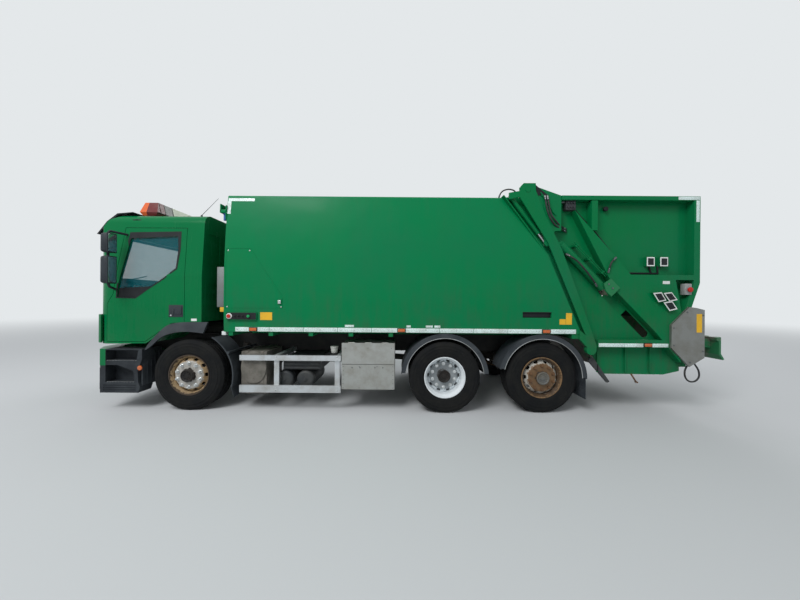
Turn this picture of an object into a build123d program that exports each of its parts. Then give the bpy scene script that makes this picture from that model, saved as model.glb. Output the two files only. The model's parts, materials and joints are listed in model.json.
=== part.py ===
from build123d import *
from math import cos, radians, sin
import os

os.makedirs("parts", exist_ok=True)

# Rear-loading garbage truck on a three-axle chassis with a tilting day cab.
# Millimetres, +X to the rear, the driver's side at -Y, +Z up, z = 0 on the road.
# The origin is on the road, midway between the cab's nose and the bin lifter's end.
# Along the truck, stations are counted from the front axle.

# Overall lengths
nose_station = -1430
wheelbase = 3600
tag_spacing = 1370
cab_back_station = 172
cab_body_gap = 338
body_roof_length = 3890
tail_reach = 3040

# Chassis
tyre_radius = 500
front_tyre_width = 312
twin_tyre_width = 285
twin_gap = 42
rim_radius = 298
wheel_outer_y = 1215
drive_outer_y = 1250
kingpin_y = 925
rail_half_width = 425
rail_height = 270
rail_top = 1010
rail_flange = 80
rail_web = 9
rail_front_station = -1250
guard_plate = 8
guard_clearance = 98
floor_plate = 6

# Cab
cab_half_width = 1200
cab_wall = 45
cab_roof = 2790
cab_sill = 944
cab_rear_sill = 1249
tunnel_half_width = 470
tunnel_top = 1240
door_gap = 6
door_thickness = 45
glass_thickness = 6
bumper_top = 895
bumper_bottom = 300

# Load body and tailgate
body_bottom = 1125
body_top = 3057
body_half_width = 1245
body_wall = 5
roof_half_width = 1115
hinge_above_roof = 73
hinge_setback = 335
sill_reach = 735
post_outer = 1250
post_plate = 22
tail_half_width = 1113
tail_skin = 8
tail_frame_outer = 1235
hopper_radius = 850
guide_angle = 45.5
packer_stroke = 800
running_gap = 5
bearing_gap = 0.3

origin_station = (nose_station + cab_back_station + cab_body_gap + body_roof_length + hinge_setback + tail_reach) / 2
front_axle_x = -origin_station
drive_axle_x = front_axle_x + wheelbase
tag_axle_x = drive_axle_x + tag_spacing
body_front_x = front_axle_x + cab_back_station + cab_body_gap
hinge_x = body_front_x + body_roof_length + hinge_setback
hinge_z = body_top + hinge_above_roof
rail_bottom = rail_top - rail_height
floor_top = body_bottom


def at(*places):
    """Stations behind the front axle and heights, as points in the truck's side view."""
    return [(front_axle_x + station, height) for station, height in places]


def rear(*places):
    """Distances behind and above the tailgate's hinge, as points in the side view."""
    return [(hinge_x + back, hinge_z + up) for back, up in places]


def plate(points, outer, thickness, mode=Mode.ADD):
    """A flat plate on the driver's side, its outer face at -Y = outer."""
    with BuildSketch(Plane.XZ.offset(outer)) as profile:
        Polygon(*points, align=None)
    extrude(profile.sketch, amount=-thickness, mode=mode)


def across(points, half_width, mode=Mode.ADD):
    """A side-view outline pulled out to both sides of the middle."""
    with BuildSketch(Plane.XZ) as profile:
        Polygon(*points, align=None)
    extrude(profile.sketch, amount=half_width, both=True, mode=mode)


def block(x, y, z, mode=Mode.ADD):
    """A box between two values on each axis."""
    with BuildSketch(Plane.XY.offset(z[0])) as profile:
        with Locations(((x[0] + x[1]) / 2, (y[0] + y[1]) / 2)):
            Rectangle(x[1] - x[0], y[1] - y[0])
    extrude(profile.sketch, amount=z[1] - z[0], mode=mode)


def lie_across(centre, radius, inner, outer, mode=Mode.ADD):
    """A round bar on the driver's side that lies across the truck, from -Y = inner to outer."""
    with BuildSketch(Plane.XZ.offset(outer)) as profile:
        with Locations(centre):
            Circle(radius)
    extrude(profile.sketch, amount=inner - outer, mode=mode)


def hub(centre, outward, inner, outer, radius, mode=Mode.ADD):
    """A round piece on a wheel's axle, from one distance off the middle to another."""
    with BuildSketch(Plane(origin=(centre, outward * inner, tyre_radius), x_dir=(1, 0, 0), z_dir=(0, outward, 0))) as face:
        Circle(radius)
    extrude(face.sketch, amount=outer - inner, mode=mode)


def save(builder, node):
    builder.part.label = node
    export_step(builder.part, f"parts/{node}.step")


# Chassis frame: two channel rails with tubular crossmembers
rail_front = front_axle_x + rail_front_station
rail_rear = hinge_x + sill_reach
with BuildPart() as chassis_frame:
    block((rail_front, rail_rear), (-rail_half_width, rail_web - rail_half_width), (rail_top - rail_height, rail_top))
    for flange_bottom in (rail_top - rail_height, rail_top - rail_web):
        block((rail_front, rail_rear), (-rail_half_width, rail_flange - rail_half_width),
              (flange_bottom, flange_bottom + rail_web))
    mirror(about=Plane.XZ)
    for station in (-1150, 700, 1900, 2900, 4285, 5350):
        with BuildSketch(Plane.XZ.offset(-rail_half_width + rail_web)) as tube:
            with Locations((front_axle_x + station, rail_top - rail_height / 2)):
                Circle(60)
        extrude(tube.sketch, amount=2 * (rail_half_width - rail_web))
save(chassis_frame, "chassis_frame")

shaft_front = (front_axle_x + 330, 740)
pinion_face = drive_axle_x - 300
flange_depth = 20
with BuildPart() as engine_block:
    block((front_axle_x - 820, front_axle_x + 330), (-330, 330), (640, 1180))
    chamfer(engine_block.edges().filter_by(Axis.X), 60)
    for station in (-650, 150):
        block((front_axle_x + station, front_axle_x + station + 120), (-400, 400),
              (rail_bottom + rail_web, rail_bottom + rail_web + 60))
    shaft_end = (pinion_face - bearing_gap - flange_depth, tyre_radius + 40)
    run = (shaft_end[0] - shaft_front[0], shaft_end[1] - shaft_front[1])
    shaft_plane = Plane(origin=(shaft_front[0] - 20, 0, shaft_front[1]), z_dir=(run[0], 0, run[1]))
    with BuildSketch(shaft_plane) as shaft:
        Circle(50)
    extrude(shaft.sketch, amount=(run[0] ** 2 + run[1] ** 2) ** 0.5 + 30)
    with BuildSketch(Plane.YZ.offset(shaft_end[0])) as flange:
        with Locations((0, shaft_end[1])):
            Circle(75)
    extrude(flange.sketch, amount=flange_depth)
    block((shaft_end[0] + flange_depth, shaft_end[0] + 200), (-80, 80), (shaft_end[1] - 80, shaft_end[1] + 80),
          Mode.SUBTRACT)
save(engine_block, "engine_block")

# Axles with their springs: a dropped front beam on leaf springs, a banjo drive axle and
# a straight tag beam on air bellows
spring_y = 390
kingpin_radius = 20
with BuildPart() as front_axle:
    with BuildSketch(Plane.YZ.offset(front_axle_x - 40)) as beam:
        with BuildLine():
            Polyline((-kingpin_y, 545), (-560, 480), (560, 480), (kingpin_y, 545),
                     (kingpin_y, 450), (560, 370), (-560, 370), (-kingpin_y, 450), close=True)
        make_face()
    extrude(beam.sketch, amount=80)
    for side in (-1, 1):
        with Locations((front_axle_x, side * kingpin_y, tyre_radius)):
            Cylinder(45, 130)
            Cylinder(kingpin_radius, 210)
        with BuildSketch(Plane.XZ.offset(-side * spring_y + 40)) as leaf:
            with BuildLine():
                ThreePointArc(*at((-780, 690), (0, 575), (780, 690)))
                Line(*at((780, 690), (780, 640)))
                ThreePointArc(*at((780, 640), (0, 470), (-780, 640)))
                Line(*at((-780, 640), (-780, 690)))
            make_face()
        extrude(leaf.sketch, amount=-80)
        for station in (-780, 780):
            block((front_axle_x + station - 30, front_axle_x + station + 30),
                  (side * spring_y - 35, side * spring_y + 35), (rail_bottom - 80, rail_bottom))
save(front_axle, "front_axle")


def air_springs(axle_x):
    """Bellows before and behind an axle, on a beam clamped to it."""
    for side in (-1, 1):
        for reach in (-330, 330):
            with BuildSketch(Plane.XY.offset(560)) as bellows:
                with Locations((axle_x + reach, side * 480)):
                    Circle(120)
            extrude(bellows.sketch, amount=rail_bottom - 560)
        block((axle_x - 400, axle_x + 400), (side * 480 - 60, side * 480 + 60), (470, 560))


drive_hub_y = drive_outer_y - twin_tyre_width - twin_gap - 130
with BuildPart() as drive_axle:
    with BuildSketch(Plane.XZ) as housing:
        with Locations((drive_axle_x, tyre_radius)):
            Circle(85)
    extrude(housing.sketch, amount=drive_hub_y - 5, both=True)
    with BuildSketch(Plane.XZ) as spindle:
        with Locations((drive_axle_x, tyre_radius)):
            Circle(60)
    extrude(spindle.sketch, amount=drive_hub_y + 80, both=True)
    with Locations((drive_axle_x, 0, tyre_radius)):
        Sphere(210)
    with BuildSketch(Plane.YZ.offset(pinion_face)) as pinion_nose:
        with Locations((0, tyre_radius + 40)):
            Circle(75)
    extrude(pinion_nose.sketch, amount=160)
    air_springs(drive_axle_x)
save(drive_axle, "drive_axle")

tag_hub_y = wheel_outer_y - 120
with BuildPart() as tag_axle:
    with BuildSketch(Plane.XZ) as housing:
        with Locations((tag_axle_x, tyre_radius)):
            Circle(65)
    extrude(housing.sketch, amount=tag_hub_y - 5, both=True)
    with BuildSketch(Plane.XZ) as spindle:
        with Locations((tag_axle_x, tyre_radius)):
            Circle(40)
    extrude(spindle.sketch, amount=tag_hub_y + 70, both=True)
    for side in (-1, 1):
        hub(tag_axle_x, side, tag_hub_y - 80, tag_hub_y - 40, 190)
    air_springs(tag_axle_x)
save(tag_axle, "tag_axle")

# Front bumper with the step units below both doors, and the cab's pivot arms
pivot_x = front_axle_x - 1372
pivot_z = 893
pivot_pin = 12
shell_top = bumper_top - 30
bumper_wall = 60
chin_height = 596
band_bottom = chin_height + 38
lamp_centres = (725, 880)
lamp_radius = 62
tow_pin_radius = 20


def bumper_volume(inset):
    """The bumper's outer form, raked back below its chin, or the form some way inside it."""
    with BuildPart() as volume:
        with BuildSketch(Plane.XZ):
            Polygon(*at((-1430, chin_height), (-1430, shell_top), (-1000, shell_top), (-1000, bumper_bottom),
                        (-1225, bumper_bottom)), align=None)
            if inset:
                offset(amount=-inset, kind=Kind.INTERSECTION)
        extrude(amount=1300, both=True)
        with BuildSketch(Plane.XY):
            Polygon(*[(front_axle_x + s, y) for s, y in ((-1425, -700), (-1425, 700), (-1395, 1000), (-1230, 1225),
                    (-1000, 1225), (-1000, -1225), (-1230, -1225), (-1395, -1000))], align=None)
            if inset:
                offset(amount=-inset, kind=Kind.INTERSECTION)
        extrude(amount=2000, mode=Mode.INTERSECT)
    return volume.part


def bumper_recess(y, z, depth):
    """A sunk field in the bumper's face, as deep all over as it says."""
    with BuildPart() as field:
        add(bumper_volume(-1) - bumper_volume(depth))
        block((front_axle_x - 1500, front_axle_x - 1170), y, z, Mode.INTERSECT)
    return field.part


with BuildPart() as front_bumper:
    add(bumper_volume(0) - bumper_volume(bumper_wall))
    block((front_axle_x - 1170, front_axle_x - 900), (-1300, 1300), (200, 1000), Mode.SUBTRACT)
    block((rail_front - 1, front_axle_x - 1100), (-900, 900), (200, 1000), Mode.SUBTRACT)
    add(bumper_recess((-1300, 1300), (chin_height + 4, band_bottom), 12), mode=Mode.SUBTRACT)
    for height in (400, 460, 520):
        add(bumper_recess((-520, 520), (height, height + 34), 24), mode=Mode.SUBTRACT)
    for side in (-1, 1):
        add(bumper_recess(tuple(sorted((side * 645, side * 960))), (band_bottom + 14, shell_top - 40), 22),
            mode=Mode.SUBTRACT)
        for lamp_y in lamp_centres:
            with BuildSketch(Plane.YZ.offset(front_axle_x - 1408 + (lamp_y - lamp_centres[0]) * 0.09)) as lamp:
                with Locations((side * lamp_y, (band_bottom + shell_top) / 2 - 10)):
                    Circle(lamp_radius)
            extrude(lamp.sketch, amount=40)
        with BuildSketch(Plane.YZ.offset(front_axle_x - 1430)) as tow_hole:
            with Locations((side * 450, 560)):
                Circle(tow_pin_radius)
        extrude(tow_hole.sketch, amount=100, mode=Mode.SUBTRACT)
        block((rail_front - 25, rail_front), tuple(sorted((side * 300, side * rail_half_width))), (760, 985))
        with BuildSketch(Plane.XZ.offset(-side * 320 + 20)) as arm:
            Polygon(*at((-1251, 760), (-1251, 985), (-1330, 920), (-1372, 921), (-1394, 908), (-1394, 880),
                        (-1372, 872), (-1350, 872), (-1345, 850), (-1345, 820), (-1300, 760)), align=None)
        extrude(arm.sketch, amount=-40)
        with BuildSketch(Plane.XZ.offset(-side * 345 + 50)) as pin:
            with Locations((pivot_x, pivot_z)):
                Circle(pivot_pin)
        extrude(pin.sketch, amount=-100)
        with BuildSketch(Plane.XZ.offset(-side * 1115 + 110)) as step:
            Polygon(*at((-1225, 253), (-1225, shell_top), (-640, shell_top), (-640, 720), (-700, 560), (-690, 400),
                        (-665, 330), (-690, 253)), align=None)
        extrude(step.sketch, amount=-220)
        for outline in (((-1150, 700), (-1150, 850), (-690, 850), (-720, 700)),
                        ((-1150, 400), (-1150, 640), (-980, 640), (-760, 560), (-745, 400))):
            with BuildSketch(Plane.XZ.offset(-side * 1160 + 90)) as tread:
                Polygon(*at(*outline), align=None)
            extrude(tread.sketch, amount=-180, mode=Mode.SUBTRACT)
        for height in (285, 318, 351):
            block((front_axle_x - 1180, front_axle_x - 720), tuple(sorted((side * 1217, side * 1225))),
                  (height, height + 14), Mode.SUBTRACT)
save(front_bumper, "front_bumper")

# Mudguards: arcs of plate round each wheel, as far out as the tyres
def guard_arc(axle_x, start, end, inner, outer, radius):
    """An arc of mudguard from one angle to another above the rear horizon."""
    with BuildSketch(Plane.XZ.offset(outer)) as profile:
        with BuildLine():
            CenterArc((axle_x, tyre_radius), radius, start, end - start)
            CenterArc((axle_x, tyre_radius), radius + guard_plate, start, end - start)
            for angle in (start, end):
                PolarLine((axle_x + radius * cos(radians(angle)), tyre_radius + radius * sin(radians(angle))),
                          guard_plate, angle)
        make_face()
    extrude(profile.sketch, amount=inner - outer)


front_guard_radius = tyre_radius + 125
rear_guard_radius = tyre_radius + guard_clearance
flap_x = tag_axle_x + rear_guard_radius
guard_tube = 18
with BuildPart() as mudguards:
    guard_arc(front_axle_x, -15, 58, 860, 1225, front_guard_radius)
    guard_arc(drive_axle_x, 5, 175, 620, 1245, rear_guard_radius)
    guard_arc(tag_axle_x, 0, 168, 860, 1245, rear_guard_radius)
    for axle_x, ends, radius, edge in ((front_axle_x, (-15, 58), front_guard_radius, 1225),
                                       (drive_axle_x, (5, 175), rear_guard_radius, 1245),
                                       (tag_axle_x, (0, 168), rear_guard_radius, 1245)):
        guard_arc(axle_x, *ends, edge - 17, edge, radius + guard_plate)
    tube_reach = front_guard_radius + guard_plate + guard_tube - 1
    tube_place = (front_axle_x + tube_reach * cos(radians(30)), tyre_radius + tube_reach * sin(radians(30)))
    lie_across(tube_place, guard_tube, rail_half_width, 1225)
    for axle_x in (drive_axle_x, tag_axle_x):
        for inner, outer in ((880, 940), (1160, 1220)):
            block((axle_x - 60, axle_x + 60), (-outer, -inner),
                  (tyre_radius + rear_guard_radius + 1, floor_top - floor_plate))
    plate([(flap_x, tyre_radius - 292), (flap_x, tyre_radius), (flap_x + guard_plate, tyre_radius),
           (flap_x + guard_plate, tyre_radius - 292)], 1225, 330)
    flap_top = (front_axle_x + front_guard_radius * cos(radians(-15)), tyre_radius + front_guard_radius * sin(radians(-15)))
    plate([(flap_top[0], flap_top[1] + 10), (flap_top[0] + guard_plate, flap_top[1] + 10),
           (flap_top[0] + 40 + guard_plate, 204), (flap_top[0] + 40, 204)], 1225, 330)
    mirror(about=Plane.XZ)
save(mudguards, "mudguards")

# Between the axles: side guards, toolbox, tanks, silencer
with BuildPart() as side_guards:
    for side, ends, posts in ((-1, (714, 2140), (1190, 2050)), (1, (714, 2860), (760, 2700))):
        for low, high in ((715, 789), (265, 367)):
            block((front_axle_x + ends[0], front_axle_x + ends[1]), tuple(sorted((side * 1175, side * 1205))), (low, high))
        for station in posts:
            block((front_axle_x + station, front_axle_x + station + 70), tuple(sorted((side * 1135, side * 1175))),
                  (265, 790))
            block((front_axle_x + station, front_axle_x + station + 70), tuple(sorted((side * 1135, side * 425))),
                  (740, 790))
save(side_guards, "side_guards")

box_front = front_axle_x + 2153
box_rear = front_axle_x + 2896
hinge_starts = (box_front + 90, (box_front + box_rear) / 2 - 45, box_rear - 180)
with BuildPart() as toolbox:
    block((box_front, box_rear), (-1200, -700), (319, 960))
    block((box_front + 3, box_rear - 3), (-1200, -703), (322, 957), Mode.SUBTRACT)
    block((box_front, box_rear), (-1206, -1200), (319, 668))
    block((box_front + 150, box_rear - 150), (-700, -rail_half_width), (800, 880))
    for start in hinge_starts:
        block((start, start + 90), (-1176, -1100), (960, 963))
save(toolbox, "toolbox")

with BuildPart() as toolbox_lid:
    block((box_front, box_rear), (-1212, -1206), (675, 971))
    block((box_front, box_rear), (-1206, -1190), (960 + bearing_gap, 971))
    for start in hinge_starts:
        with BuildSketch(Plane.YZ.offset(start)) as barrel:
            with Locations((-1190, 971)):
                Circle(8)
        extrude(barrel.sketch, amount=90)
save(toolbox_lid, "toolbox_lid")



def strapped_tank(x, y, z, corner, low_only, straps):
    """A tank of rounded section that lies along the truck, with steel straps round it."""
    with BuildSketch(Plane.YZ.offset(x[0])) as section:
        with Locations(((y[0] + y[1]) / 2, (z[0] + z[1]) / 2)):
            Rectangle(y[1] - y[0], z[1] - z[0])
        rounded = section.vertices()
        fillet(rounded.group_by(Axis.Y)[0] if low_only else rounded, corner)
    extrude(section.sketch, amount=x[1] - x[0])
    for place in straps:
        with BuildSketch(Plane.YZ.offset(place)) as strap:
            offset(section.sketch_local, amount=strap_plate)
        extrude(strap.sketch, amount=45)


strap_plate = 5
tank_front, silencer_front = front_axle_x + 1000, front_axle_x + 700
with BuildPart() as fuel_tank:
    strapped_tank((tank_front, tank_front + 1200), (540, 1120), (330, 880), 90, False, (tank_front + 210, tank_front + 910))
    for strap in (tank_front + 200, tank_front + 900):
        block((strap, strap + 80), (rail_half_width, 545), (760, 840))
save(fuel_tank, "fuel_tank")

with BuildPart() as silencer:
    strapped_tank((silencer_front, silencer_front + 360), (-1120, -560), (195, 826), 120, True,
                  (silencer_front + 50, silencer_front + 270))
    block((silencer_front + 120, silencer_front + 240), (-560, -rail_half_width), (760, 820))
save(silencer, "silencer")

valve_box = (front_axle_x + 1290, front_axle_x + 1835)
with BuildPart() as air_tanks:
    for station, height in ((1308, 422), (1609, 424)):
        with BuildSketch(Plane.XZ.offset(1100)) as shell:
            with Locations((front_axle_x + station, height)):
                Circle(130)
        extrude(shell.sketch, amount=-600)
        fillet(air_tanks.edges().filter_by(GeomType.CIRCLE).group_by(Axis.Y)[0].sort_by(Axis.X)[-1:], 40)
        block((front_axle_x + station - 10, front_axle_x + station + 20), (-1000, -600), (540, 570))
    block(valve_box, (-1090, -rail_half_width), (570, 735))
    for height in (588, 634, 680):
        block((valve_box[0] + 20, valve_box[1] - 20), (-1108, -1090), (height, height + 26))
    for station in (1340, 1740):
        block((front_axle_x + station, front_axle_x + station + 50), (-900, -360), (735, rail_bottom))
save(air_tanks, "air_tanks")

# Subframe and floor of the load body
beam_front = hinge_x + 640
with BuildPart() as subframe:
    for side in (-1, 1):
        block((body_front_x, beam_front), tuple(sorted((side * 425, side * 345))), (rail_top, floor_top - floor_plate))
    for index, half in enumerate((1225, 1225, 1225, 1225, 1225, 600, 600, 600, 600)):
        bearer = body_front_x + 60 + index * 560
        block((bearer, bearer + 60), (-half, half), (floor_top - 60, floor_top - floor_plate))
    block((body_front_x, hinge_x + sill_reach), (-1234, 1234), (floor_top - floor_plate, floor_top))
save(subframe, "subframe")


# Load body: bowed side walls, a crowned roof and a flat front wall, cut at a slant behind
def slant_cut():
    """Clears what stands behind the body's slanted rear edge."""
    across(rear((-335, -73), (290, -909), (735, -1949), (735, -2600), (3000, -2600), (3000, 400), (-335, 400)),
           1500, Mode.SUBTRACT)


wall_top = body_top - 42
wall_mid = 1750
body_rear_x = hinge_x + sill_reach
with BuildPart() as body_sides:
    for side in (-1, 1):
        foot = side * (body_half_width - 10)
        shoulder = side * (body_half_width - 90)
        skin = side * body_wall
        with BuildSketch(Plane.YZ.offset(body_front_x)) as section:
            with BuildLine():
                ThreePointArc((foot, body_bottom), (side * body_half_width, wall_mid), (shoulder, wall_top))
                Line((shoulder, wall_top), (shoulder - skin, wall_top))
                ThreePointArc((shoulder - skin, wall_top), (side * body_half_width - skin, wall_mid),
                              (foot - skin, body_bottom))
                Line((foot - skin, body_bottom), (foot, body_bottom))
            make_face()
        extrude(section.sketch, amount=body_rear_x - body_front_x)
        if side == -1:
            with BuildSketch(Plane.XZ.offset(1300)) as seam:
                Polygon(*at((532, 2285), (879, 2288), (1339, 1610), (1339, 1443), (532, 1443)), align=None)
                offset(amount=-10, kind=Kind.INTERSECTION, mode=Mode.SUBTRACT)
            with BuildPart() as groove:
                with BuildSketch(Plane.YZ.offset(body_front_x)):
                    with BuildLine():
                        ThreePointArc((foot + 2.5, body_bottom), (2.5 - body_half_width, wall_mid), (shoulder + 2.5, wall_top))
                        Polyline((shoulder + 2.5, wall_top), (-1300, wall_top), (-1300, body_bottom), (foot + 2.5, body_bottom))
                    make_face()
                extrude(amount=1500)
                extrude(seam.sketch, amount=-250, mode=Mode.INTERSECT)
            add(groove.part, mode=Mode.SUBTRACT)
    slant_cut()
    block((front_axle_x + 560, front_axle_x + 977), (-1266, -1238), (1287, 1395))
    block((front_axle_x + 1262, front_axle_x + 1318), (-1254, -1238), (1510, 1570))
    block((front_axle_x + 4667, front_axle_x + 5090), (-1241, -1208), (1335, 1436))
    block((front_axle_x + 4677, front_axle_x + 5080), (-1300, -1214), (1345, 1426), Mode.SUBTRACT)
save(body_sides, "body_sides")

with BuildPart() as body_roof:
    with BuildSketch(Plane.YZ.offset(body_front_x)) as section:
        with BuildLine():
            half = body_half_width - 90
            ThreePointArc((-roof_half_width, body_top), (0, body_top + 12), (roof_half_width, body_top))
            TangentArc((roof_half_width, body_top), (half, wall_top), tangent=(1, 0))
            Line((half, wall_top), (half - body_wall, wall_top))
            Line((half - body_wall, wall_top), (roof_half_width, body_top - body_wall))
            ThreePointArc((roof_half_width, body_top - body_wall), (0, body_top + 12 - body_wall),
                          (-roof_half_width, body_top - body_wall))
            Line((-roof_half_width, body_top - body_wall), (-half + body_wall, wall_top))
            Line((-half + body_wall, wall_top), (-half, wall_top))
            TangentArc((-roof_half_width, body_top), (-half, wall_top), tangent=(-1, 0))
        make_face()
    extrude(section.sketch, amount=body_roof_length + 330)
    slant_cut()
save(body_roof, "body_roof")

with BuildPart() as body_front_wall:
    block((body_front_x, body_front_x + body_wall), (-1150, 1150), (floor_top, body_top - 50))
    for y in (-800, -400, 0, 400, 800):
        block((body_front_x - 40, body_front_x), (y - 40, y + 40), (floor_top, body_top - 60))
save(body_front_wall, "body_front_wall")

# Rear frame: slanted channel posts that carry the tailgate's hinge, its lift and its lock
channel_floor = 1133
hinge_pin = 35
lift_y = 1176
post_knee, post_heel = (484, -838), (971, -2155)
web_start = 0.115
lift_foot_place = (-211, -92)
lift_eye_place = (290, -742)
with BuildPart() as rear_posts:
    plate(rear((-260, -135), (-260, -45), (-114, -20), (-114, 30), (-60, 90), (109, 90), (109, -6), (248, -353),
               post_knee, post_heel, (874, -2155), (290, -742), (-114, -100)), post_outer, post_plate)
    plate(rear((-335, -73), (85, -73), (85, -6), (223, -353), (459, -838), (946, -2130), (735, -1949),
               (290, -909)), channel_floor + 8, 8)
    plate(rear((-335, -73), (-320, -73), (303, -904), (748, -1944), (748, -1990), (735, -1990), (735, -1949),
               (290, -909)), 1228, 1228 - channel_floor)
    web_top = (post_knee[0] + web_start * (post_heel[0] - post_knee[0]),
               post_knee[1] + web_start * (post_heel[1] - post_knee[1]))
    plate(rear(web_top, post_heel, (post_heel[0] - 16, post_heel[1]), (web_top[0] - 16, web_top[1])), post_outer,
          post_outer - channel_floor)
    plate(rear(post_heel, (735, -1949), (735, -2075), (850, -2200), (975, -2200)), post_outer, 60)
    lie_across(rear((902, -2225))[0], 70, 1190, post_outer)
    lie_across(rear((0, 0))[0], hinge_pin, 1212, post_outer + 6)
    lie_across(rear(lift_foot_place)[0], 22, channel_floor, post_outer)
    mirror(about=Plane.XZ)
    block((beam_front, hinge_x + sill_reach), (-1228, 1228), (floor_top - 70, floor_top - floor_plate))
save(rear_posts, "rear_posts")

# Ejector plate: a sloped shield on a sled that fills the body's section
ejector_travel = 3200
with BuildPart() as ejector:
    with BuildSketch(Plane.XZ) as side_view:
        sled = floor_top + bearing_gap - hinge_z
        Polygon(*rear((700 - ejector_travel, sled), (-360 - ejector_travel, -140), (-430 - ejector_travel, -140),
                      (600 - ejector_travel, -1900), (-300 - ejector_travel, -1900), (-300 - ejector_travel, sled)),
                align=None)
    extrude(side_view.sketch, amount=1400, both=True)
    with BuildSketch(Plane.YZ.offset(body_front_x - 500)) as section:
        Polygon((-1205, 1100), (1205, 1100), (1120, wall_top), (-1120, wall_top), align=None)
    extrude(section.sketch, amount=8000, mode=Mode.INTERSECT)
save(ejector, "ejector")


# Cab: the side, plan and front outlines pulled through each other
brow, roof_front = (-1200, cab_roof - 90), (-1050, cab_roof - 15)
arch_line = ((cab_back_station, cab_rear_sill), (-215, 1215), (-609, cab_sill))


def roof_height(station):
    """The height of the cab's sloping roof at a station."""
    rise_per_mm = (cab_roof - roof_front[1]) / (cab_back_station - roof_front[0])
    return roof_front[1] + rise_per_mm * (station - roof_front[0])


def cab_floor(station):
    """Just above the floor plate behind the wheel arch's knee, at a station."""
    back, knee = arch_line[:2]
    slope = (back[1] - knee[1]) / (back[0] - knee[0])
    return knee[1] + slope * (station - knee[0]) + cab_wall * (1 + slope ** 2) ** 0.5 + bearing_gap


def cab_volume(inset):
    """The cab's outer form, or the form a wall's thickness inside it."""
    with BuildPart() as volume:
        with BuildSketch(Plane.XZ):
            Polygon(*at((-1400, 931), (-1428, 1345), (-1400, 1650), (-1290, 2560), brow, roof_front,
                        (cab_back_station, cab_roof), *arch_line), align=None)
            if inset:
                offset(amount=-inset, kind=Kind.INTERSECTION)
        extrude(amount=1300, both=True)
        with BuildSketch(Plane.XY):
            with BuildLine():
                half = cab_half_width - inset
                nose = front_axle_x + nose_station + 2 + inset
                back = front_axle_x + 400
                ThreePointArc((nose + 60, -half + 330), (nose, 0), (nose + 60, half - 330))
                ThreePointArc((nose + 60, half - 330), (nose + 120, half - 95), (nose + 330, half))
                Polyline((nose + 330, half), (back, half), (back, -half), (nose + 330, -half))
                ThreePointArc((nose + 330, -half), (nose + 120, -half + 95), (nose + 60, -half + 330))
            make_face()
        extrude(amount=4000, mode=Mode.INTERSECT)
        with BuildSketch(Plane.YZ.offset(front_axle_x - 2000)):
            half = cab_half_width - inset
            with BuildLine():
                eaves, crown = cab_roof - 140, cab_roof - 5 - inset
                Polyline((-half, 0), (-half, 1900), (-half + 60, eaves))
                ThreePointArc((-half + 60, eaves), (-half + 100, crown - 45), (-half + 210, crown))
                Line((-half + 210, crown), (half - 210, crown))
                ThreePointArc((half - 210, crown), (half - 100, crown - 45), (half - 60, eaves))
                Polyline((half - 60, eaves), (half, 1900), (half, 0), (-half, 0))
            make_face()
        extrude(amount=4000, mode=Mode.INTERSECT)
    return volume.part


def tunnel(half_width, top, front, back):
    with BuildPart() as hump:
        with Locations(((front + back) / 2, 0, top - 500)):
            Box(back - front, 2 * half_width, 1000)
    return hump.part


def cab_skin(outer, inner, x, y, z):
    """A patch of the cab's skin, from one depth under its face to another, inside a box."""
    with BuildPart() as patch:
        add(cab_volume(outer) - cab_volume(inner))
        block(x, y, z, Mode.INTERSECT)
    return patch.part


door_outline = at((-1165, 962), (-622, 962), (-250, 1225), (-67, 1237), (-67, 2585), (-950, 2585), (-1075, 1640),
                  (-1165, 1500))
window_outline = at((-862, 2430), (-195, 2464), (-180, 2260), (-201, 2007), (-370, 1865), (-624, 1694),
                    (-764, 1587), (-1018, 1592), (-1004, 1761))
screen_half_width = 1040
screen_bottom = 1680
screen_top = 2520
with BuildPart() as cab_shell:
    add(cab_volume(0))
    add(cab_volume(cab_wall) - tunnel(tunnel_half_width + 25, tunnel_top + 25, front_axle_x - 1380, front_axle_x + 400),
        mode=Mode.SUBTRACT)
    add(tunnel(tunnel_half_width, tunnel_top, front_axle_x - 1350, front_axle_x + 400), mode=Mode.SUBTRACT)
    plate(door_outline, 1300, 200, Mode.SUBTRACT)
    plate(door_outline, -1100, 200, Mode.SUBTRACT)
    block((front_axle_x - 1500, front_axle_x - 1180), (-screen_half_width, screen_half_width),
          (screen_bottom, screen_top), Mode.SUBTRACT)
    for height in (1000, 1100, 1200, 1300, 1400):
        add(cab_skin(-5, 20, (front_axle_x - 1500, front_axle_x - 1250), (-560, 560), (height, height + 62)),
            mode=Mode.SUBTRACT)
    for side in (-1, 1):
        side_y = tuple(sorted((side * 905, side * 1300)))
        add(cab_skin(-30, -12, (front_axle_x - 1500, front_axle_x - 1235), side_y, (950, 1345)))
        for height in (1000, 1270):
            add(cab_skin(-14, 5, (front_axle_x - 1330, front_axle_x - 1260), side_y, (height, height + 30)))
        for low, high in ((2060, 2520), (1720, 1800), (1560, 1640), (1400, 1480)):
            with BuildSketch(Plane.YZ.offset(front_axle_x + cab_back_station - 12)) as panel:
                with Locations((side * 930, (low + high) / 2)):
                    RectangleRounded(300, high - low, 35)
            extrude(panel.sketch, amount=20, mode=Mode.SUBTRACT)
        with BuildSketch(Plane.XZ.offset(-side * 370 + 15)) as lug:
            Polygon(*at((-1350, 936), (-1393, 936), (-1393, 890), (-1384, 873), (-1360, 873), (-1350, 890)), align=None)
            with Locations((pivot_x, pivot_z)):
                Circle(pivot_pin + bearing_gap, mode=Mode.SUBTRACT)
        extrude(lug.sketch, amount=-30)
save(cab_shell, "cab_shell")

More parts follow.
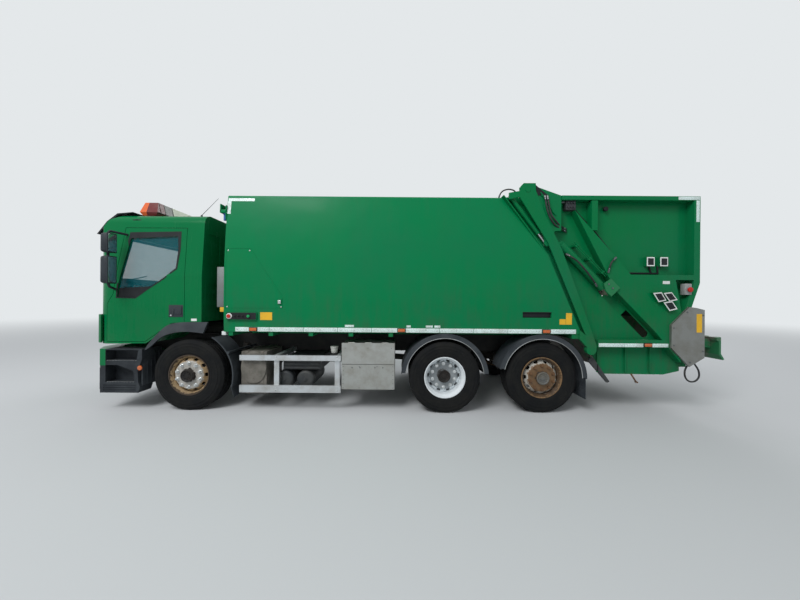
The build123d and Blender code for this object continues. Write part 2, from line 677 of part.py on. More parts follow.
with BuildPart() as windscreen:
    add(cab_volume(10) - cab_volume(10 + glass_thickness))
    block((front_axle_x - 1500, front_axle_x - 1180), (bearing_gap - screen_half_width, screen_half_width - bearing_gap),
          (screen_bottom + bearing_gap, screen_top - bearing_gap), Mode.INTERSECT)
save(windscreen, "windscreen")

for side, name in ((-1, "left"), (1, "right")):
    with BuildPart() as door:
        with BuildSketch(Plane.XZ.offset(-side * 1300)):
            Polygon(*door_outline, align=None)
            offset(amount=-door_gap, kind=Kind.INTERSECTION)
        extrude(amount=side * 200)
        add(cab_volume(0), mode=Mode.INTERSECT)
        add(cab_volume(door_thickness), mode=Mode.SUBTRACT)
        with BuildSketch(Plane.XZ.offset(-side * 1300)):
            Polygon(*window_outline, align=None)
        extrude(amount=side * 300, mode=Mode.SUBTRACT)
        pull = (front_axle_x - 286, front_axle_x - 89)
        add(cab_skin(-5, 28, pull, tuple(sorted((side * 1000, side * 1300))), (1318, 1485)), mode=Mode.SUBTRACT)
        for post in (pull[0] + 20, pull[0] + 110):
            add(cab_skin(3, 30, (post, post + 26), tuple(sorted((side * 1000, side * 1300))), (1317, 1486)))
    save(door, f"door_{name}")
    with BuildPart() as glass:
        with BuildSketch(Plane.XZ.offset(-side * 1300)):
            Polygon(*window_outline, align=None)
            offset(amount=-0.5, kind=Kind.INTERSECTION)
        extrude(amount=side * 300)
        add(cab_volume(18), mode=Mode.INTERSECT)
        add(cab_volume(18 + glass_thickness), mode=Mode.SUBTRACT)
    save(glass, f"door_glass_{name}")
    with BuildPart() as mirrors:
        for low, high, front, back in ((2203, 2459, -1134, -880), (1768, 2160, -1134, -904)):
            with BuildSketch(Plane.XY.offset(low)) as housing:
                with Locations((front_axle_x + (front + back) / 2, side * 1370)):
                    RectangleRounded(back - front, 150, 50)
            extrude(housing.sketch, amount=high - low)
            block((front_axle_x + back - 6, front_axle_x + back), tuple(sorted((side * 1312, side * 1428))),
                  (low + 22, high - 22), Mode.SUBTRACT)
        for height, root in ((2500, 1155), (1725, cab_half_width + 0.3)):
            block((front_axle_x - 1035, front_axle_x - 1005), tuple(sorted((side * root, side * 1405))),
                  (height - 12, height + 12))
        with Locations((front_axle_x - 1020, side * 1395, 2112)):
            Cylinder(14, 800)
    save(mirrors, f"mirrors_{name}")

with BuildPart() as sun_visor:
    across(at((nose_station, cab_roof - 285), (-1410, cab_roof - 285), (-1270, cab_roof - 130), (-1115, cab_roof),
              (-911, cab_roof + 25), (-911, cab_roof + 35), (-1135, cab_roof + 15), (-1285, cab_roof - 100)), 1080)
    for y in (-700, 0, 700):
        with BuildSketch(Plane.XZ.offset(y + 15)) as bracket:
            Polygon(*at((-1120, cab_roof - 50), roof_front, (-1020, roof_height(-1020)), (-1020, cab_roof + 15),
                        (-1120, cab_roof)), align=None)
        extrude(bracket.sketch, amount=-30)
save(sun_visor, "sun_visor")

lamp_bottom = cab_roof + 45
with BuildPart() as light_bar:
    across(at((-985, lamp_bottom + 50), (-950, lamp_bottom), (-751, lamp_bottom), (-716, lamp_bottom + 50),
              (-752, cab_roof + 253), (-949, cab_roof + 253)), 900)
    for side in (-1, 1):
        with BuildSketch(Plane.YZ.offset(front_axle_x - 1000)) as slanted_end:
            Polygon((side * 905, lamp_bottom - 5), (side * 905, cab_roof + 260), (side * 820, cab_roof + 260),
                    (side * 880, lamp_bottom + 50), (side * 860, lamp_bottom - 5), align=None)
        extrude(slanted_end.sketch, amount=300, mode=Mode.SUBTRACT)
    across(at((-900, roof_height(-900)), (-800, roof_height(-800)), (-800, lamp_bottom), (-900, lamp_bottom)), 600)
save(light_bar, "light_bar")

with BuildPart() as arch_flares:
    plate(at((-640, 885), *reversed(arch_line), (206, cab_rear_sill), (262, 1167), (206, 1125), (-172, 1108),
             (-560, 850)), 1230, 40)
    mirror(about=Plane.XZ)
save(arch_flares, "arch_flares")

with BuildPart() as seats:
    for side in (-1, 1):
        with Locations((front_axle_x - 350, side * 760, 1480)):
            Box(480, 480, 160)
        with Locations((front_axle_x - 130, side * 760, 1880)):
            Box(110, 460, 700)
        with BuildSketch(Plane.XZ.offset(150 - side * 760)) as pedestal:
            Polygon(*at((-500, 1400), (-180, 1400), (-180, cab_floor(-180)), (-225, cab_floor(-225)), (-420, 1320)),
                    align=None)
        extrude(pedestal.sketch, amount=-300)
save(seats, "seats")

with BuildPart() as dashboard:
    wheel_plane = Plane(origin=(front_axle_x - 880, -760, 1690), z_dir=(0.5, 0, 0.866))
    with BuildSketch(Plane(origin=wheel_plane.origin, x_dir=wheel_plane.x_dir, z_dir=(0, 1, 0))) as rim:
        with Locations((225, 0)):
            Circle(14)
    revolve(rim.sketch, axis=Axis(wheel_plane.origin, wheel_plane.z_dir))
    with BuildSketch(wheel_plane) as spokes:
        Rectangle(440, 40)
        Circle(60)
    extrude(spokes.sketch, amount=-20)
    with BuildSketch(wheel_plane) as column:
        Circle(35)
    extrude(column.sketch, amount=-300)
    across(at((-1420, 1420), (-1420, 1640), (-1080, 1620), (-1010, 1560), (-1080, 1300), (-1420, 1300)), 1105)
    add(cab_volume(cab_wall + 1), mode=Mode.INTERSECT)
save(dashboard, "dashboard")


# Wheels: a tyre, and a disc wheel with hand holes seated in it
def tyre(centre, outward, outer_y, width):
    """A tyre turned round its axle, from the outer wall inwards."""
    section = Plane(origin=(centre, outward * outer_y, tyre_radius), x_dir=(0, -outward, 0), z_dir=(-outward, 0, 0))
    with BuildSketch(section) as profile:
        with BuildLine():
            Polyline((20, rim_radius - 10), (0, rim_radius + 70), (8, tyre_radius - 60), (28, tyre_radius - 8),
                     (40, tyre_radius), (width - 40, tyre_radius), (width - 28, tyre_radius - 8),
                     (width - 8, tyre_radius - 60), (width, rim_radius + 70), (width - 20, rim_radius - 10), close=True)
        make_face()
    revolve(profile.sketch, axis=Axis((centre, 0, tyre_radius), (0, 1, 0)))


def rim(centre, outward, outer_y, width, disc_depth, dish):
    """A rim with a dished disc whose face is disc_depth inside the tyre's outer wall."""
    section = Plane(origin=(centre, outward * outer_y, tyre_radius), x_dir=(0, -outward, 0), z_dir=(-outward, 0, 0))
    seat = rim_radius - 10 - bearing_gap
    well = rim_radius - 40
    with BuildSketch(section) as profile:
        Polygon((12, seat), (40, seat), (70, well), (width - 70, well), (width - 40, seat),
                (width - 12, seat), (width - 12, rim_radius - 22), (width - 76, well - 14),
                (66, well - 14), (12, rim_radius - 22), align=None)
        foot = disc_depth + dish
        Polygon((disc_depth, 85), (disc_depth, 188), (disc_depth + 12, 202), (foot - 22, well - 20), (foot, well - 8),
                (foot + 14, well - 8), (foot - 8, well - 30), (disc_depth + 26, 196), (disc_depth + 14, 184),
                (disc_depth + 14, 85), align=None)
    revolve(profile.sketch, axis=Axis((centre, 0, tyre_radius), (0, 1, 0)))
    with BuildSketch(Plane(origin=(centre, 0, tyre_radius), x_dir=(1, 0, 0), z_dir=(0, outward, 0))) as holes:
        with PolarLocations(219, 10):
            SlotOverall(58, 30, rotation=90)
    extrude(holes.sketch, amount=outer_y + 200, mode=Mode.SUBTRACT)


single_disc, single_dish, twin_dish = 20, 84, 50
spindle_radius = 40
for axle, axle_x in (("front", front_axle_x), ("tag", tag_axle_x)):
    for side, name in ((-1, "left"), (1, "right")):
        with BuildPart() as wheel_tyre:
            tyre(axle_x, side, wheel_outer_y, front_tyre_width)
        save(wheel_tyre, f"{axle}_tyre_{name}")
        with BuildPart() as wheel_rim:
            rim(axle_x, side, wheel_outer_y, front_tyre_width, single_disc, single_dish)
            hub(axle_x, side, tag_hub_y, wheel_outer_y + 20, 86)
            hub(axle_x, side, tag_hub_y, tag_hub_y + 75, spindle_radius + bearing_gap, Mode.SUBTRACT)
        save(wheel_rim, f"{axle}_rim_{name}")

for side, name in ((-1, "left"), (1, "right")):
    with BuildPart() as knuckle:
        with Locations((front_axle_x, side * (kingpin_y + 70), tyre_radius)):
            Box(100, 30, 206)
        for height in (85, -85):
            with Locations((front_axle_x, side * (kingpin_y + 15), tyre_radius + height)):
                Box(80, 110, 36)
        with Locations((front_axle_x, side * kingpin_y, tyre_radius)):
            Cylinder(kingpin_radius + bearing_gap, 400, mode=Mode.SUBTRACT)
        hub(front_axle_x, side, kingpin_y + 80, tag_hub_y - 5, 60)
        hub(front_axle_x, side, kingpin_y + 80, kingpin_y + 110, 200)
        hub(front_axle_x, side, kingpin_y + 80, tag_hub_y + 70, spindle_radius)
    save(knuckle, f"knuckle_{name}")
    inner_outer_y = drive_outer_y - twin_tyre_width - twin_gap
    with BuildPart() as wheel_tyre:
        tyre(drive_axle_x, side, drive_outer_y, twin_tyre_width)
        tyre(drive_axle_x, side, inner_outer_y, twin_tyre_width)
    save(wheel_tyre, f"drive_tyres_{name}")
    with BuildPart() as wheel_rim:
        rim(drive_axle_x, side, drive_outer_y, twin_tyre_width, 150, twin_dish)
        rim(drive_axle_x, side, inner_outer_y, twin_tyre_width, 10, single_dish)
        hub(drive_axle_x, side, drive_hub_y, drive_outer_y - 90, 86)
        hub(drive_axle_x, side, drive_hub_y, drive_hub_y + 85, 60 + bearing_gap, Mode.SUBTRACT)
    save(wheel_rim, f"drive_rims_{name}")

# Tailgate: side walls, roof, hopper trough and its rear beam
packer_x = hinge_x + 1415
packer_z = hinge_z - 1680
slide = (cos(radians(guide_angle)), -sin(radians(guide_angle)))
tail_side = rear((119, -72), (2418, -72), (2418, -1282), (2245, -1799), (2245, -2540), (2015, -2593), (1096, -2586),
                 (981, -2253), (981, -2155), (494, -838), (258, -353))
lug_reach = 430
lug_radius = 45


def along(start, distance, off=0):
    """A point so far down the slide from start, and so far square to it on the upper side."""
    return (start[0] + distance * slide[0] - off * slide[1], start[1] + distance * slide[1] + off * slide[0])


rise = along((packer_x, packer_z), -packer_stroke)
arm_outer = 1225
with BuildPart() as tailgate_shell:
    plate(tail_side, tail_half_width, tail_skin)
    plate(rear((-60, -60), (-75, 0), (-50, 60), (60, 75), (480, -72), (480, -560), (390, -570), (330, -755),
               (280, -785), (240, -742), (250, -700), (60, -110)), arm_outer, 13)
    lie_across(rear((0, 0))[0], hinge_pin + bearing_gap, 1200, arm_outer, Mode.SUBTRACT)
    lie_across(rear(lift_eye_place)[0], 18, lift_y + 27, 1212)
    plate(rear((262, -90), (262, -345), (480, -345), (480, -90)), arm_outer, arm_outer - tail_half_width)
    with BuildSketch(Plane.XZ.offset(tail_half_width)) as slot:
        with Locations(along((packer_x, packer_z), lug_reach - packer_stroke / 2)):
            SlotCenterToCenter(packer_stroke + 60, 2 * lug_radius + 20, rotation=-guide_angle)
    extrude(slot.sketch, amount=-tail_skin, mode=Mode.SUBTRACT)
    plate(rear((2088, -1255), (2322, -1255), (2182, -1680)), tail_half_width, tail_skin, Mode.SUBTRACT)
    mirror(about=Plane.XZ)
    across(rear((470, -80), (470, -72), (2418, -72), (2418, -80)), tail_half_width - tail_skin)
    for back in (470, 1400, 2338):
        across(rear((back, -150), (back, -80), (back + 80, -80), (back + 80, -150)), tail_half_width - tail_skin)
save(tailgate_shell, "tailgate_shell")

with BuildPart() as tailgate_frame:
    for outline in (
        rear((482, -130), (482, -72), (2418, -72), (2418, -130)),
        rear((2334, -130), (2418, -130), (2418, -1282), (2245, -1799), (2160, -1799), (2334, -1282)),
        rear((1440, -1241), (1458, -1172), (2334, -1172), (2334, -1241)),
        rear((902, -556), (902, -139), (985, -139), (985, -556)),
        rear((665, -280), (1222, -902), (1458, -1178), (2072, -1200), (2166, -1700), (2160, -2400), (1820, -1990),
             (1245, -1400)),
        rear((1001, -2189), (1001, -2085), (1990, -2085), (1990, -2189)),
    ):
        plate(outline, tail_frame_outer, tail_frame_outer - tail_half_width)
    for start, foot in ((902, -2085), (1300, -2085), (1650, -2085)):
        plate(rear((start + 150, foot - 104), (start + 162, foot - 104), (start + 162, -2560), (start + 150, -2560)),
              tail_half_width + 30, 30)
    mirror(about=Plane.XZ)
    for box_corners in (rear((1722, -1427), (1839, -1415), (1905, -1530), (1800, -1552)),
                        rear((1867, -1426), (1978, -1414), (2060, -1521), (1950, -1545)),
                        rear((1867, -1556), (1985, -1535), (2060, -1646), (1950, -1675))):
        plate(box_corners, tail_frame_outer + 48, 48)
    for lamp_corner in (rear((1722, -1044))[0], rear((1912, -1044))[0]):
        block((lamp_corner[0], lamp_corner[0] + 108), (-tail_half_width - 62, -tail_half_width),
              (lamp_corner[1], lamp_corner[1] + 128))
save(tailgate_frame, "tailgate_frame")

lip_angle, foot_angle = -8, -115
with BuildPart() as hopper_trough:
    with BuildSketch(Plane.XZ) as trough:
        with BuildLine():
            CenterArc((packer_x, packer_z), hopper_radius, foot_angle, lip_angle - foot_angle)
            CenterArc((packer_x, packer_z), hopper_radius + 8, foot_angle, lip_angle - foot_angle)
            for angle in (foot_angle, lip_angle):
                PolarLine((packer_x + hopper_radius * cos(radians(angle)), packer_z + hopper_radius * sin(radians(angle))),
                          8, angle)
        make_face()
        foot, heel = [(packer_x + r * cos(radians(foot_angle)), packer_z + r * sin(radians(foot_angle)))
                      for r in (hopper_radius, hopper_radius + 8)]
        Polygon(foot, *rear((825, -2050), (815, -2055)), heel, align=None)
    extrude(trough.sketch, amount=tail_half_width - tail_skin, both=True)
save(hopper_trough, "hopper_trough")

lifter_pivot = rear((2410, -2130))[0]
beam_rear = hinge_x + 2342
with BuildPart() as rear_beam:
    block((hinge_x + 2245, beam_rear), (-tail_half_width, tail_half_width), (hinge_z - 2480, hinge_z - 1960))
    for y in (-900, -840, 840, 900):
        block((beam_rear, lifter_pivot[0] + 60), (y - 10, y + 10), (lifter_pivot[1] - 80, lifter_pivot[1] + 80))
    for side in (-1, 1):
        block((beam_rear, beam_rear + 45), tuple(sorted((side * 940, side * 1100))), (hinge_z - 2360, hinge_z - 1990))
    for y in (-870, 870):
        with BuildSketch(Plane.XZ.offset(y + 40)) as pin:
            with Locations(lifter_pivot):
                Circle(20)
        extrude(pin.sketch, amount=-80)
save(rear_beam, "rear_beam")

with BuildPart() as side_covers:
    plate(rear((1996, -1868), (2246, -1617), (2343, -1630), (2453, -1657), (2453, -2321), (2246, -2447),
               (1996, -2186)), 1270, 1270 - tail_frame_outer)
    plate([(beam_rear, hinge_z - 1645), *rear((2440, -1665), (2440, -2315)), (beam_rear, hinge_z - 2380)],
          tail_frame_outer, tail_frame_outer - tail_half_width)
    mirror(about=Plane.XZ)
save(side_covers, "side_covers")

slide_y = 1172
barrel_length = 860
pin_to_eye = 940
cylinder_start = along(rise, lug_reach - pin_to_eye)
with BuildPart() as slide_cylinders:
    barrel_plane = Plane(origin=(cylinder_start[0], -slide_y, cylinder_start[1]), z_dir=(slide[0], 0, slide[1]))
    with BuildSketch(barrel_plane) as barrel:
        Circle(56)
    extrude(barrel.sketch, amount=barrel_length)
    with BuildSketch(barrel_plane.offset(90)) as bore:
        Circle(32 + bearing_gap)
    extrude(bore.sketch, amount=barrel_length, mode=Mode.SUBTRACT)
    lie_across(cylinder_start, 40, tail_half_width, slide_y + 30)
    mirror(about=Plane.XZ)
save(slide_cylinders, "slide_cylinders")

# Packer: a sliding carriage with shoes and rods, and the sweep blade hung from it
cover_inner = tail_frame_outer + running_gap
with BuildPart() as carriage:
    across([along(rise, -720, -30), along(rise, -60, -30), along(rise, -60, 60), along(rise, -720, 60)], 1095)
    plate([along(rise, -720, -30), along(rise, 460, -30), along(rise, 460, 30), along(rise, -60, 60),
           along(rise, -720, 60)], 1095, 35)
    lie_across(along(rise, lug_reach), lug_radius, 1060, cover_inner + 5)
    plate([along(rise, lug_reach - 150, 10), along(rise, lug_reach - 60, -40), along(rise, lug_reach + 50, -40),
           along(rise, lug_reach + 50, 130), along(rise, lug_reach - 130, 130)], cover_inner + 24, 24)
    rod_plane = Plane(origin=(along(rise, lug_reach)[0], -slide_y, along(rise, lug_reach)[1]),
                      z_dir=(-slide[0], 0, -slide[1]))
    with BuildSketch(rod_plane) as rod:
        Circle(32)
    extrude(rod.sketch, amount=pin_to_eye - 100)
    mirror(about=Plane.XZ)
    with BuildSketch(Plane.XZ) as hinge:
        with Locations(rise):
            Circle(25)
    extrude(hinge.sketch, amount=1062, both=True)
save(carriage, "packer_carriage")

with BuildPart() as blade:
    with BuildSketch(Plane.XZ) as side_view:
        Polygon((rise[0] - 50, rise[1]), (rise[0] + 50, rise[1]), (rise[0] + 20, rise[1] - 400),
                (rise[0] - 50, rise[1] - 820), (rise[0] - 90, rise[1] - 820), (rise[0] - 90, rise[1] - 400), align=None)
        with Locations(rise):
            Circle(50)
            Circle(25 + bearing_gap, mode=Mode.SUBTRACT)
    extrude(side_view.sketch, amount=1045, both=True)
    for index in range(9):
        rib = -960 + index * 240
        with BuildSketch(Plane.XZ.offset(-rib + 12)) as web:
            Polygon((rise[0] - 50, rise[1] - 80), (rise[0] - 85, rise[1] - 390), (rise[0] - 50, rise[1] - 390), align=None)
        extrude(web.sketch, amount=-24)
save(blade, "sweep_blade")

# Tailgate lift cylinders, from the body's top to the tailgate's walls
lift_foot = rear(lift_foot_place)[0]
lift_eye = rear(lift_eye_place)[0]
lift_plane = Plane(origin=(lift_foot[0], -lift_y, lift_foot[1]),
                   z_dir=(lift_eye[0] - lift_foot[0], 0, lift_eye[1] - lift_foot[1]))
with BuildPart() as lift_barrels:
    with BuildSketch(lift_plane) as barrel:
        Circle(30)
    extrude(barrel.sketch, amount=640)
    with BuildSketch(lift_plane.offset(60)) as bore:
        Circle(20 + bearing_gap)
    extrude(bore.sketch, amount=640, mode=Mode.SUBTRACT)
    lie_across(lift_foot, 40, lift_y - 26, lift_y + 26)
    lie_across(lift_foot, 22 + bearing_gap, lift_y - 40, lift_y + 40, Mode.SUBTRACT)
    mirror(about=Plane.XZ)
save(lift_barrels, "lift_barrels")

lift_length = ((lift_eye[0] - lift_foot[0]) ** 2 + (lift_eye[1] - lift_foot[1]) ** 2) ** 0.5
with BuildPart() as lift_rods:
    with BuildSketch(lift_plane.offset(340)) as rod:
        Circle(20)
    extrude(rod.sketch, amount=lift_length - 340)
    lie_across(lift_eye, 32, lift_y - 22, lift_y + 22)
    lie_across(lift_eye, 18 + 2, lift_y - 40, lift_y + 40, Mode.SUBTRACT)
    mirror(about=Plane.XZ)
save(lift_rods, "lift_rods")

# Bin lifter: two arms with a comb at their ends
with BuildPart() as bin_lifter:
    for side in (-1, 1):
        with BuildSketch(Plane.XZ.offset(-side * 870 + 15)) as lifting_arm:
            Polygon(*[(lifter_pivot[0] + x, lifter_pivot[1] + z) for x, z in ((-30, -25), (-30, 25), (0, 42), (60, 42),
                    (300, 10), (520, 30), (520, -110), (280, -70), (60, -42), (0, -42))], align=None)
        extrude(lifting_arm.sketch, amount=-30)
        with BuildSketch(Plane.XZ.offset(-side * 870 + 30)) as pin_hole:
            with Locations(lifter_pivot):
                Circle(20 + bearing_gap)
        extrude(pin_hole.sketch, amount=-60, mode=Mode.SUBTRACT)
    across([(lifter_pivot[0] + x, lifter_pivot[1] + z) for x, z in ((500, 60), (560, 60), (560, -180), (610, -260),
            (590, -272), (530, -190), (530, 0), (500, 20))], 1000)
    for index in range(11):
        tooth = -900 + index * 180
        block((lifter_pivot[0] + 540, hinge_x + tail_reach), (tooth - 30, tooth + 30),
              (lifter_pivot[1] + 20, lifter_pivot[1] + 60))
save(bin_lifter, "bin_lifter")
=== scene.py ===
import json
import math

import bmesh
import bpy
from mathutils import Matrix, Vector


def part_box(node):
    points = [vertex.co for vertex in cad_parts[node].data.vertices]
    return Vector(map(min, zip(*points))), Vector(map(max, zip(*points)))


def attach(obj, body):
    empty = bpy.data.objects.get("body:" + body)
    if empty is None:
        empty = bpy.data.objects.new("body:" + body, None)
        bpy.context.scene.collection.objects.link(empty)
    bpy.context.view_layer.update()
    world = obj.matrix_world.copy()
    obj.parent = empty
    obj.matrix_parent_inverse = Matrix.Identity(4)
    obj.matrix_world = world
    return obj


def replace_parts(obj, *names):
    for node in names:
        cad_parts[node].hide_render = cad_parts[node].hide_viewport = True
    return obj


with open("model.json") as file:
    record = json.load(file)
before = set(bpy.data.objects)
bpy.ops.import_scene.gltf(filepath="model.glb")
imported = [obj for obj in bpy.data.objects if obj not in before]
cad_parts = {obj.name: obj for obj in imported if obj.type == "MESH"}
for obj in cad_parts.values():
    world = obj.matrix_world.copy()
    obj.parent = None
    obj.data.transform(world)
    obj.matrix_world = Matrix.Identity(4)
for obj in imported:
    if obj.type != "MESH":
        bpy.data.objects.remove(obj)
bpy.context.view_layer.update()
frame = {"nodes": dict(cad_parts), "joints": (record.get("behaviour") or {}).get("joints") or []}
nodes = frame["nodes"]
joints = {joint["name"]: joint for joint in frame["joints"]}

# Rear-loading garbage truck, dressed for the camera. Metres, +X to the rear, the driver's
# side at -Y, +Z up. Places along the truck are counted from the front axle.
front_x = joints["steer_left"]["pos_m"][0]


def spot(behind, up, out):
    """A point so far behind the front axle, so high, and so far out on the driver's side."""
    return Vector((front_x + behind, -out, up))


# The studio: a pale floor that fades into the backdrop, one large lamp high on the camera's
# left, as the sun stood, and a broad weak one behind. The camera stands where the
# photograph was taken from, 4.2 m off the truck's side with a very wide lens.
camera_data = bpy.data.cameras.new("camera")
camera_data.lens = 13.52
camera_data.sensor_width = 36
camera_data.clip_start = 0.05
camera_data.clip_end = 300
camera = bpy.data.objects.new("camera", camera_data)
camera_roll = 0.0075
camera.matrix_world = (Matrix.Translation(spot(2.966, 1.58, 5.43))
                       @ Matrix.Rotation(math.pi / 2, 4, "X") @ Matrix.Rotation(camera_roll, 4, "Z"))
bpy.context.scene.collection.objects.link(camera)
bpy.context.scene.camera = camera
bpy.context.scene.view_settings.view_transform = "Standard"


def linear(code):
    """A colour written as sRGB hex, turned to the linear values that shaders take."""
    parts = [int(code[i:i + 2], 16) / 255 for i in (1, 3, 5)]
    return (*(p / 12.92 if p <= 0.04045 else ((p + 0.055) / 1.055) ** 2.4 for p in parts), 1)


def add(tree, kind, sockets=None, out=None, **settings):
    """Adds a shader node with its settings and links; gives the output named, or its first."""
    made = tree.nodes.new("ShaderNode" + kind)
    for name, value in settings.items():
        setattr(made, name, value)
    for name, value in (sockets or {}).items():
        if isinstance(value, bpy.types.NodeSocket):
            tree.links.new(value, made.inputs[name])
        else:
            made.inputs[name].default_value = linear(value) if isinstance(value, str) else value
    return made.outputs[out] if out else next((socket for socket in made.outputs if socket.enabled), None)


def lamp(name, place, target, size, power):
    """A square soft lamp that looks at a point."""
    data = bpy.data.lights.new(name, "AREA")
    data.shape = "SQUARE"
    data.size = size
    data.energy = power
    made = bpy.data.objects.new(name, data)
    made.location = place
    made.rotation_euler = (Vector(target) - Vector(place)).to_track_quat("-Z", "Y").to_euler()
    bpy.context.scene.collection.objects.link(made)


lamp("key_lamp", (-7, -11, 13), (0, 0, 1), 7, 1900)
lamp("back_lamp", (6, 12, 9), (0, 0, 1.5), 9, 700)

backdrop_colour = "#E4E8EA"
world = bpy.data.worlds.new("studio")
bpy.context.scene.world = world
world.use_nodes = True
sky = world.node_tree
sky.nodes.clear()
seen = add(sky, "LightPath", out="Is Camera Ray")
for other_ray in ("Is Glossy Ray", "Is Transmission Ray"):
    seen = add(sky, "Math", {0: seen, 1: add(sky, "LightPath", out=other_ray)}, operation="MAXIMUM")
fill = add(sky, "Background", {"Color": "#F4F7FA", "Strength": 0.55})
shown = add(sky, "Background", {"Color": backdrop_colour, "Strength": 1.0})
add(sky, "OutputWorld", {"Surface": add(sky, "MixShader", {0: seen, 1: fill, 2: shown})})


def own_piece(name, mesh, material, body=None, smooth=35):
    """Puts a finished bmesh in the scene with its material, on the body that it rides."""
    bmesh.ops.recalc_face_normals(mesh, faces=mesh.faces)
    data = bpy.data.meshes.new(name)
    mesh.to_mesh(data)
    mesh.free()
    data.materials.append(material)
    if smooth:
        data.shade_smooth()
        data.set_sharp_from_angle(angle=math.radians(smooth))
    made = bpy.data.objects.new(name, data)
    bpy.context.scene.collection.objects.link(made)
    if body:
        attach(made, body)
    return made


def start_material(name, **values):
    """A new material; returns it with its tree and the piece's own coordinates."""
    made = bpy.data.materials.new(name)
    made.use_nodes = True
    tree = made.node_tree
    for socket, value in values.items():
        entry = tree.nodes["Principled BSDF"].inputs[socket.replace("_", " ")]
        entry.default_value = linear(value) if isinstance(value, str) else value
    return made, tree, add(tree, "TexCoord", out="Object")


def give_finish(material, *names):
    """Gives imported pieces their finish."""
    for name in names:
        nodes[name].data.materials.clear()
        nodes[name].data.materials.append(material)


def studio_floor():
    """Pale matt floor paint that turns to the backdrop's colour far away, so no horizon shows."""
    made, tree, place = start_material("floor_paint", Roughness=0.85, Base_Color="#C4C7C9")
    far = add(tree, "VectorMath", {0: place}, operation="LENGTH")
    fade = add(tree, "MapRange", {"Value": far, "From Min": 8.0, "From Max": 34.0}, interpolation_type="SMOOTHSTEP")
    fade = add(tree, "Math", {0: fade, 1: add(tree, "LightPath", out="Is Camera Ray")}, operation="MULTIPLY")
    glow = add(tree, "Emission", {"Color": backdrop_colour, "Strength": 1.0})
    both = add(tree, "MixShader", {0: fade, 1: tree.nodes["Principled BSDF"].outputs[0], 2: glow})
    tree.links.new(both, tree.nodes["Material Output"].inputs["Surface"])
    return made


floor_mesh = bmesh.new()
bmesh.ops.create_grid(floor_mesh, x_segments=1, y_segments=1, size=150)
own_piece("floor", floor_mesh, studio_floor(), smooth=None)


# Chassis: folded steel rails, a forged front beam, cast axles and a cast-iron engine, all
# sprayed semi-matt at the works. Road dust lies on them in pale patches about 15 cm wide,
# and rust shows in specks where stones have struck.
def filmed(tree, place, under, over, scale, detail, fine, low, high, most=1.0):
    """A film that lies over a colour in noise patches; gives the noise, the patches and the colour."""
    cloud = add(tree, "TexNoise", {"Vector": place, "Scale": scale, "Detail": detail, "Roughness": fine})
    patches = add(tree, "MapRange", {"Value": cloud, "From Min": low, "From Max": high, "To Max": most})
    return cloud, patches, add(tree, "Mix", {"Factor": patches, "A": under, "B": over}, data_type="RGBA")


def finished(made, shade=None, relief=None, **others):
    """Links a colour, a relief (its height, strength and depth in metres) and other sockets."""
    tree = made.node_tree
    links = {**others, "Base Color": shade}
    if relief:
        links["Normal"] = add(tree, "Bump", dict(zip(("Height", "Strength", "Distance"), relief)))
    for socket, value in links.items():
        if value is not None:
            tree.links.new(value, tree.nodes["Principled BSDF"].inputs[socket])
    return made


def road_paint(name, paint, dust, rust=0.25, roughness=0.6):
    """Sprayed paint under road dust, with specks of rust."""
    made, tree, place = start_material(name, Roughness=roughness, Specular_IOR_Level=0.35)
    dusty = filmed(tree, place, paint, dust, 6, 8, 0.65, 0.38, 0.7, 0.75)[2]
    fleck, _, shade = filmed(tree, place, dusty, "#6B4325", 28, 6, 0.7, 0.6, 0.75, rust)
    return finished(made, shade, (fleck, 0.25, 0.004))


chassis_paint = road_paint("chassis_paint", "#191B1D", "#33322E")
axle_paint = road_paint("axle_paint", "#1C1D1E", "#453F35", rust=0.5)
give_finish(chassis_paint, "chassis_frame")
give_finish(axle_paint, "front_axle", "drive_axle", "tag_axle", "knuckle_left", "knuckle_right")
give_finish(road_paint("engine_iron", "#2C3430", "#454439", rust=0.3), "engine_block")


def rounded_box(mesh, centre, size, edge=0.004, turn=None):
    """Adds a box with softened edges, turned about its middle."""
    placed = Matrix.Translation(centre) @ (turn or Matrix()) @ Matrix.Diagonal((*size, 1))
    made = bmesh.ops.create_cube(mesh, size=1, matrix=placed)["verts"]
    if edge:
        edges = list({e for v in made for e in v.link_edges})
        bmesh.ops.bevel(mesh, geom=edges, offset=edge, segments=2, profile=0.5, affect="EDGES", material=-1)


def round_bar(mesh, start, end, radius, edge=0.0, steps=24, end_radius=None):
    """Adds a round bar, or a cone, between two points."""
    run = Vector(end) - Vector(start)
    placed = (Matrix.Translation((Vector(start) + Vector(end)) / 2)
              @ run.to_track_quat("Z", "Y").to_matrix().to_4x4())
    made = bmesh.ops.create_cone(mesh, cap_ends=True, segments=steps, radius1=radius, depth=run.length,
                                 radius2=radius if end_radius is None else end_radius, matrix=placed)["verts"]
    if edge:
        edges = {e for v in made for e in v.link_edges if any(len(f.verts) == steps for f in e.link_faces)}
        bmesh.ops.bevel(mesh, geom=list(edges), offset=edge, segments=2, profile=0.5, affect="EDGES", material=-1)


def fitted(name, material, body, parts, smooth=35):
    """One piece of boxes (middle, size, edge, turn) and round bars (start, end, radius, edge, steps)."""
    mesh = bmesh.new()
    for part in parts:
        (round_bar if isinstance(part[1], Vector) else rounded_box)(mesh, *part)
    return own_piece(name, mesh, material, body, smooth)


def stub(behind, up, start, end, *shape):
    """A round bar that stands straight out of the truck's side, from one distance to another."""
    return (spot(behind, up, start), spot(behind, up, end), *shape)


